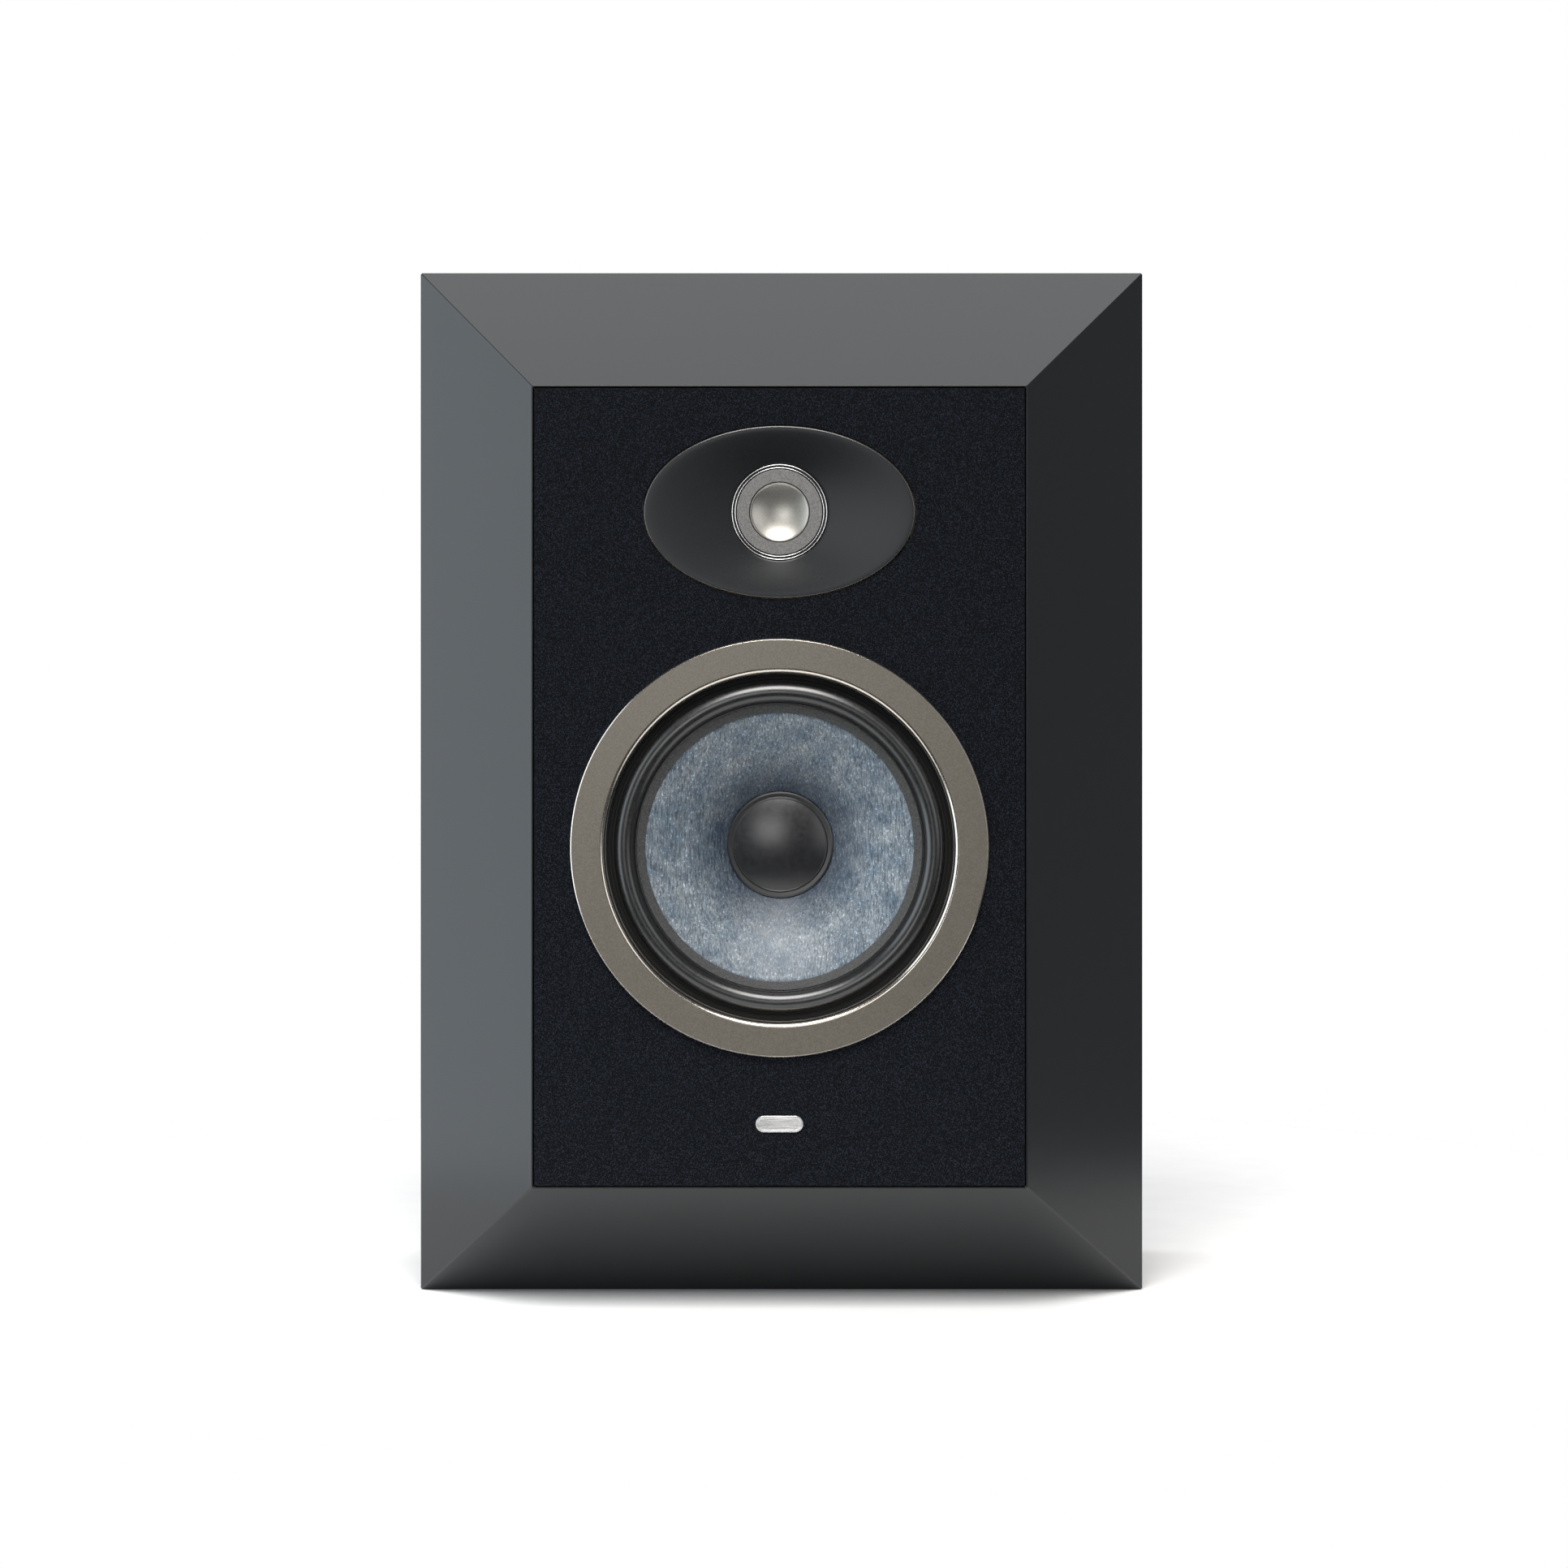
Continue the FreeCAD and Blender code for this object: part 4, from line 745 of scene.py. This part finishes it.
def round_box(half_wide, half_tall, radius, arcs=8):
    """Points round a rectangle with round corners."""
    points = []
    for across, up, first in ((1, 1, 0), (-1, 1, 90), (-1, -1, 180), (1, -1, 270)):
        for k in range(arcs + 1):
            angle = math.radians(first + 90 * k / arcs)
            points.append((across * (half_wide - radius) + radius * math.cos(angle),
                           up * (half_tall - radius) + radius * math.sin(angle)))
    return points


def make_cup():
    """A moulded cup: a lip in the back panel, rounded mouth, drafted walls and a flat floor."""
    lip_top = BACK - 0.3
    rows = [(50, 36, 7, BACK - 3.0), (50, 36, 7, lip_top - 0.8)]
    rows += [(50 - 0.8 * (1 - math.cos(math.radians(15 * k))),
              36 - 0.8 * (1 - math.cos(math.radians(15 * k))), 7,
              lip_top - 0.8 + 0.8 * math.sin(math.radians(15 * k))) for k in range(1, 7)]
    rows += [(40.5, 26.5, 6.0, lip_top)]
    rows += [(39 + 1.5 * (1 - math.sin(math.radians(15 * k))),
              25 + 1.5 * (1 - math.sin(math.radians(15 * k))), 6.0 - 1.5 * math.sin(math.radians(15 * k)),
              lip_top - 1.5 * (1 - math.cos(math.radians(15 * k)))) for k in range(1, 7)]
    rows += [(38.6, 24.6, 4.3, BACK - 28.0)]
    rows += [(38.6 - 1.8 * (1 - math.cos(math.radians(18 * k))),
              24.6 - 1.8 * (1 - math.cos(math.radians(18 * k))),
              4.3 - 1.6 * (1 - math.cos(math.radians(18 * k))),
              BACK - 28.2 - 1.8 * math.sin(math.radians(18 * k))) for k in range(1, 6)]
    points = []
    for wide, tall, radius, y in rows:
        points += [(CUP.x + a, y, CUP.z + b) for a, b in round_box(wide, tall, radius)]
    size = len(points) // len(rows)
    faces = grid_faces(len(rows), size)
    faces.append(tuple(range(len(points) - size, len(points))))
    first = len(points)
    outer = [(50, 36, 7, BACK - 3.0), (41.5, 27.5, 7, BACK - 3.2), (41.5, 27.5, 7, BACK - 32.5)]
    for wide, tall, radius, y in outer:
        points += [(CUP.x + a, y, CUP.z + b) for a, b in round_box(wide, tall, radius)]
    faces += [tuple(first + i for i in face) for face in grid_faces(len(outer), size)]
    faces.append(tuple(range(len(points) - size, len(points))))
    build("terminal_bowl", points, faces, PLASTIC, "cabinet", ["terminal_cup"])


def make_knob(colour, material):
    """A fluted clamp knob with a smooth collar, a rounded end and a hole for the plug."""
    node = colour + "_knob"
    low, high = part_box(node)
    axis = (low + high) / 2 / MM
    near, far = low.y / MM, high.y / MM
    levels = [(3.1, near, 0), (5.2, near, 0), (5.5, near + 0.3, 0), (5.5, near + 1.0, 0), (6.2, near + 1.7, 0),
              (6.45, near + 2.1, 0), (6.5, near + 2.6, 0), (6.5, near + 3.2, 1), (6.5, near + 8, 1),
              (6.5, far - 2.2, 1), (6.5, far - 1.6, 0.6), (6.42, far - 1.1, 0.1), (6.2, far - 0.65, 0),
              (5.85, far - 0.3, 0), (5.4, far - 0.08, 0), (5.0, far, 0), (4.1, far, 0), (3.9, far - 0.3, 0),
              (3.4, far - 0.3, 0), (3.15, far - 0.6, 0), (3.1, far - 1.0, 0), (3.1, near + 6, 0)]
    turns = 240
    points = []
    for radius, y, fluted in levels:
        for k in range(turns):
            angle = 2 * math.pi * k / turns
            phase = (math.cos(12 * angle) + 1) / 2
            cut = 0.62 * phase ** 3 * fluted
            points.append((axis.x + (radius - cut) * math.cos(angle), y,
                           axis.z + (radius - cut) * math.sin(angle)))
    build(colour + "_clamp_knob", points, grid_faces(len(levels), turns, ends=True), material,
          colour + "_knob_body", [node])


def make_terminals():
    make_cup()
    for colour, material in (("red", RED_CAP), ("black", BLACK_CAP)):
        make_knob(colour, material)
        low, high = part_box(colour + "_washer")
        axis = (low + high) / 2 / MM
        thick = (high.y - low.y) / MM
        lathe(colour + "_clamp_washer", [
            (3.1, 0, 0.15), (5.5, 0, 0.3), (5.5, thick, 0.3), (3.1, thick, 0.15)], axis, GOLD,
            colour + "_washer_body", [colour + "_washer"], base=low.y / MM, turns=96)
    cup_screws = [(CUP.x + a * 43.5, CUP.z + b * 29.5) for a in (-1, 1) for b in (-1, 1)]
    screw_group("cup_fixing_screws", cup_screws, 3.0, 1.5, 16, BLACK_SCREW, "cup_screws", 11)


def make_back_screws():
    low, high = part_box("back_panel_screws")
    across = (high.x / MM) - 4.0
    up = (high.z / MM) - 4.0
    down = (low.z / MM) + 4.0
    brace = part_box("shelf_brace")
    shelf = (brace[0].z + brace[1].z) / 2 / MM
    places = [(-across, down), (across, down), (-across, up), (across, up), (-110, shelf), (110, shelf)]
    screw_group("back_fixing_screws", places, 4.0, 2.0, 34, BLACK_SCREW, "back_panel_screws",
                7)


# ---------------------------------------------------------------- carried-over nodes


def dress_nodes():
    slots = {part["node"]: part["material_slot"] for part in frame["record"]["subparts"]}
    for name, node in frame["nodes"].items():
        material = CARRIED.get(slots[name])
        if material:
            node.data.materials.clear()
            node.data.materials.append(material)


# ---------------------------------------------------------------- studio


def area_light(name, place, target, wide, tall, radiance, tint=(1, 1, 1)):
    light = bpy.data.lights.new(name, "AREA")
    light.shape = "RECTANGLE"
    light.size, light.size_y = wide, tall
    light.energy = math.pi * radiance * wide * tall
    light.color = tint
    lamp = bpy.data.objects.new(name, light)
    bpy.context.scene.collection.objects.link(lamp)
    lamp.location = place
    lamp.rotation_euler = (Vector(target) - Vector(place)).to_track_quat("-Z", "Y").to_euler()
    lamp.visible_camera = False
    return lamp


def make_floor():
    material = finish("studio_floor", grey(0.93), grey(0.95), (0.85, 0.95), grain=40, bump=0.01, level=0.0)
    middle, radius = 100, 500
    points = [(0, middle, 0)] + [(radius * math.cos(math.radians(5 * k)),
                                  middle + radius * math.sin(math.radians(5 * k)), 0) for k in range(72)]
    mesh = bpy.data.meshes.new("studio_floor")
    mesh.from_pydata([[value * MM for value in point] for point in points], [],
                     [(0, k + 1, (k + 1) % 72 + 1) for k in range(72)])
    mesh.materials.append(material)
    floor = bpy.data.objects.new("studio_floor", mesh)
    bpy.context.scene.collection.objects.link(floor)


def make_world():
    """White where the camera sees past the floor, and dim to everything else."""
    world = bpy.data.worlds.new("studio")
    bpy.context.scene.world = world
    world.use_nodes = True
    nodes, links = world.node_tree.nodes, world.node_tree.links
    nodes.clear()
    seen = nodes.new("ShaderNodeBackground")
    seen.inputs["Color"].default_value = (1, 1, 1, 1)
    seen.inputs["Strength"].default_value = 1.0
    room = nodes.new("ShaderNodeBackground")
    room.inputs["Color"].default_value = (0.95, 0.97, 1.0, 1)
    room.inputs["Strength"].default_value = 0.04
    path = nodes.new("ShaderNodeLightPath")
    choice = nodes.new("ShaderNodeMixShader")
    result = nodes.new("ShaderNodeOutputWorld")
    links.new(path.outputs["Is Camera Ray"], choice.inputs["Fac"])
    links.new(room.outputs["Background"], choice.inputs[1])
    links.new(seen.outputs["Background"], choice.inputs[2])
    links.new(choice.outputs["Shader"], result.inputs["Surface"])


def make_camera():
    camera = bpy.data.cameras.new("camera")
    camera.sensor_width = 36
    camera.lens = 87.2
    camera.shift_x = -0.029
    camera.shift_y = -0.0877
    camera.clip_end = 60
    viewer = bpy.data.objects.new("camera", camera)
    bpy.context.scene.collection.objects.link(viewer)
    viewer.location = (0.021, -1.718, 0.2815)
    viewer.rotation_euler = (math.radians(90), 0, 0)
    bpy.context.scene.camera = viewer


def make_studio():
    make_floor()
    make_world()
    make_camera()
    area_light("key", (-0.05, -1.85, 2.55), (0, -0.05, 0.1), 1.7, 1.7, 12.2, (1.0, 0.985, 0.96))
    area_light("ceiling", (0, 1.10, 3.5), (0, 1.10, 0), 4.5, 1.7, 2.35)
    area_light("left_softbox", (-1.5, -0.45, 0.55), (0, -0.45, 0.55), 2.2, 1.9, 2.3, (0.86, 0.94, 1.0))
    area_light("right_softbox", (1.25, -1.6, 0.65), (0, -0.1, 0.3), 0.9, 1.2, 1.5)
    area_light("right_wall", (1.7, 0.3, 0.60), (0, 0.3, 0.60), 1.6, 1.6, 0.22)
    area_light("front_panel", (-0.40, -2.8, 0.60), (0, 0, 0.2), 0.9, 0.8, 3.6)
    bpy.context.scene.view_settings.view_transform = "Standard"
    bpy.context.scene.view_settings.look = "None"


make_studio()
dress_nodes()
make_cabinet()
make_insides()
make_badge()
make_woofer()
make_spider()
make_leads()
make_tweeter()
make_terminals()
make_back_screws()

bpy.context.view_layer.update()
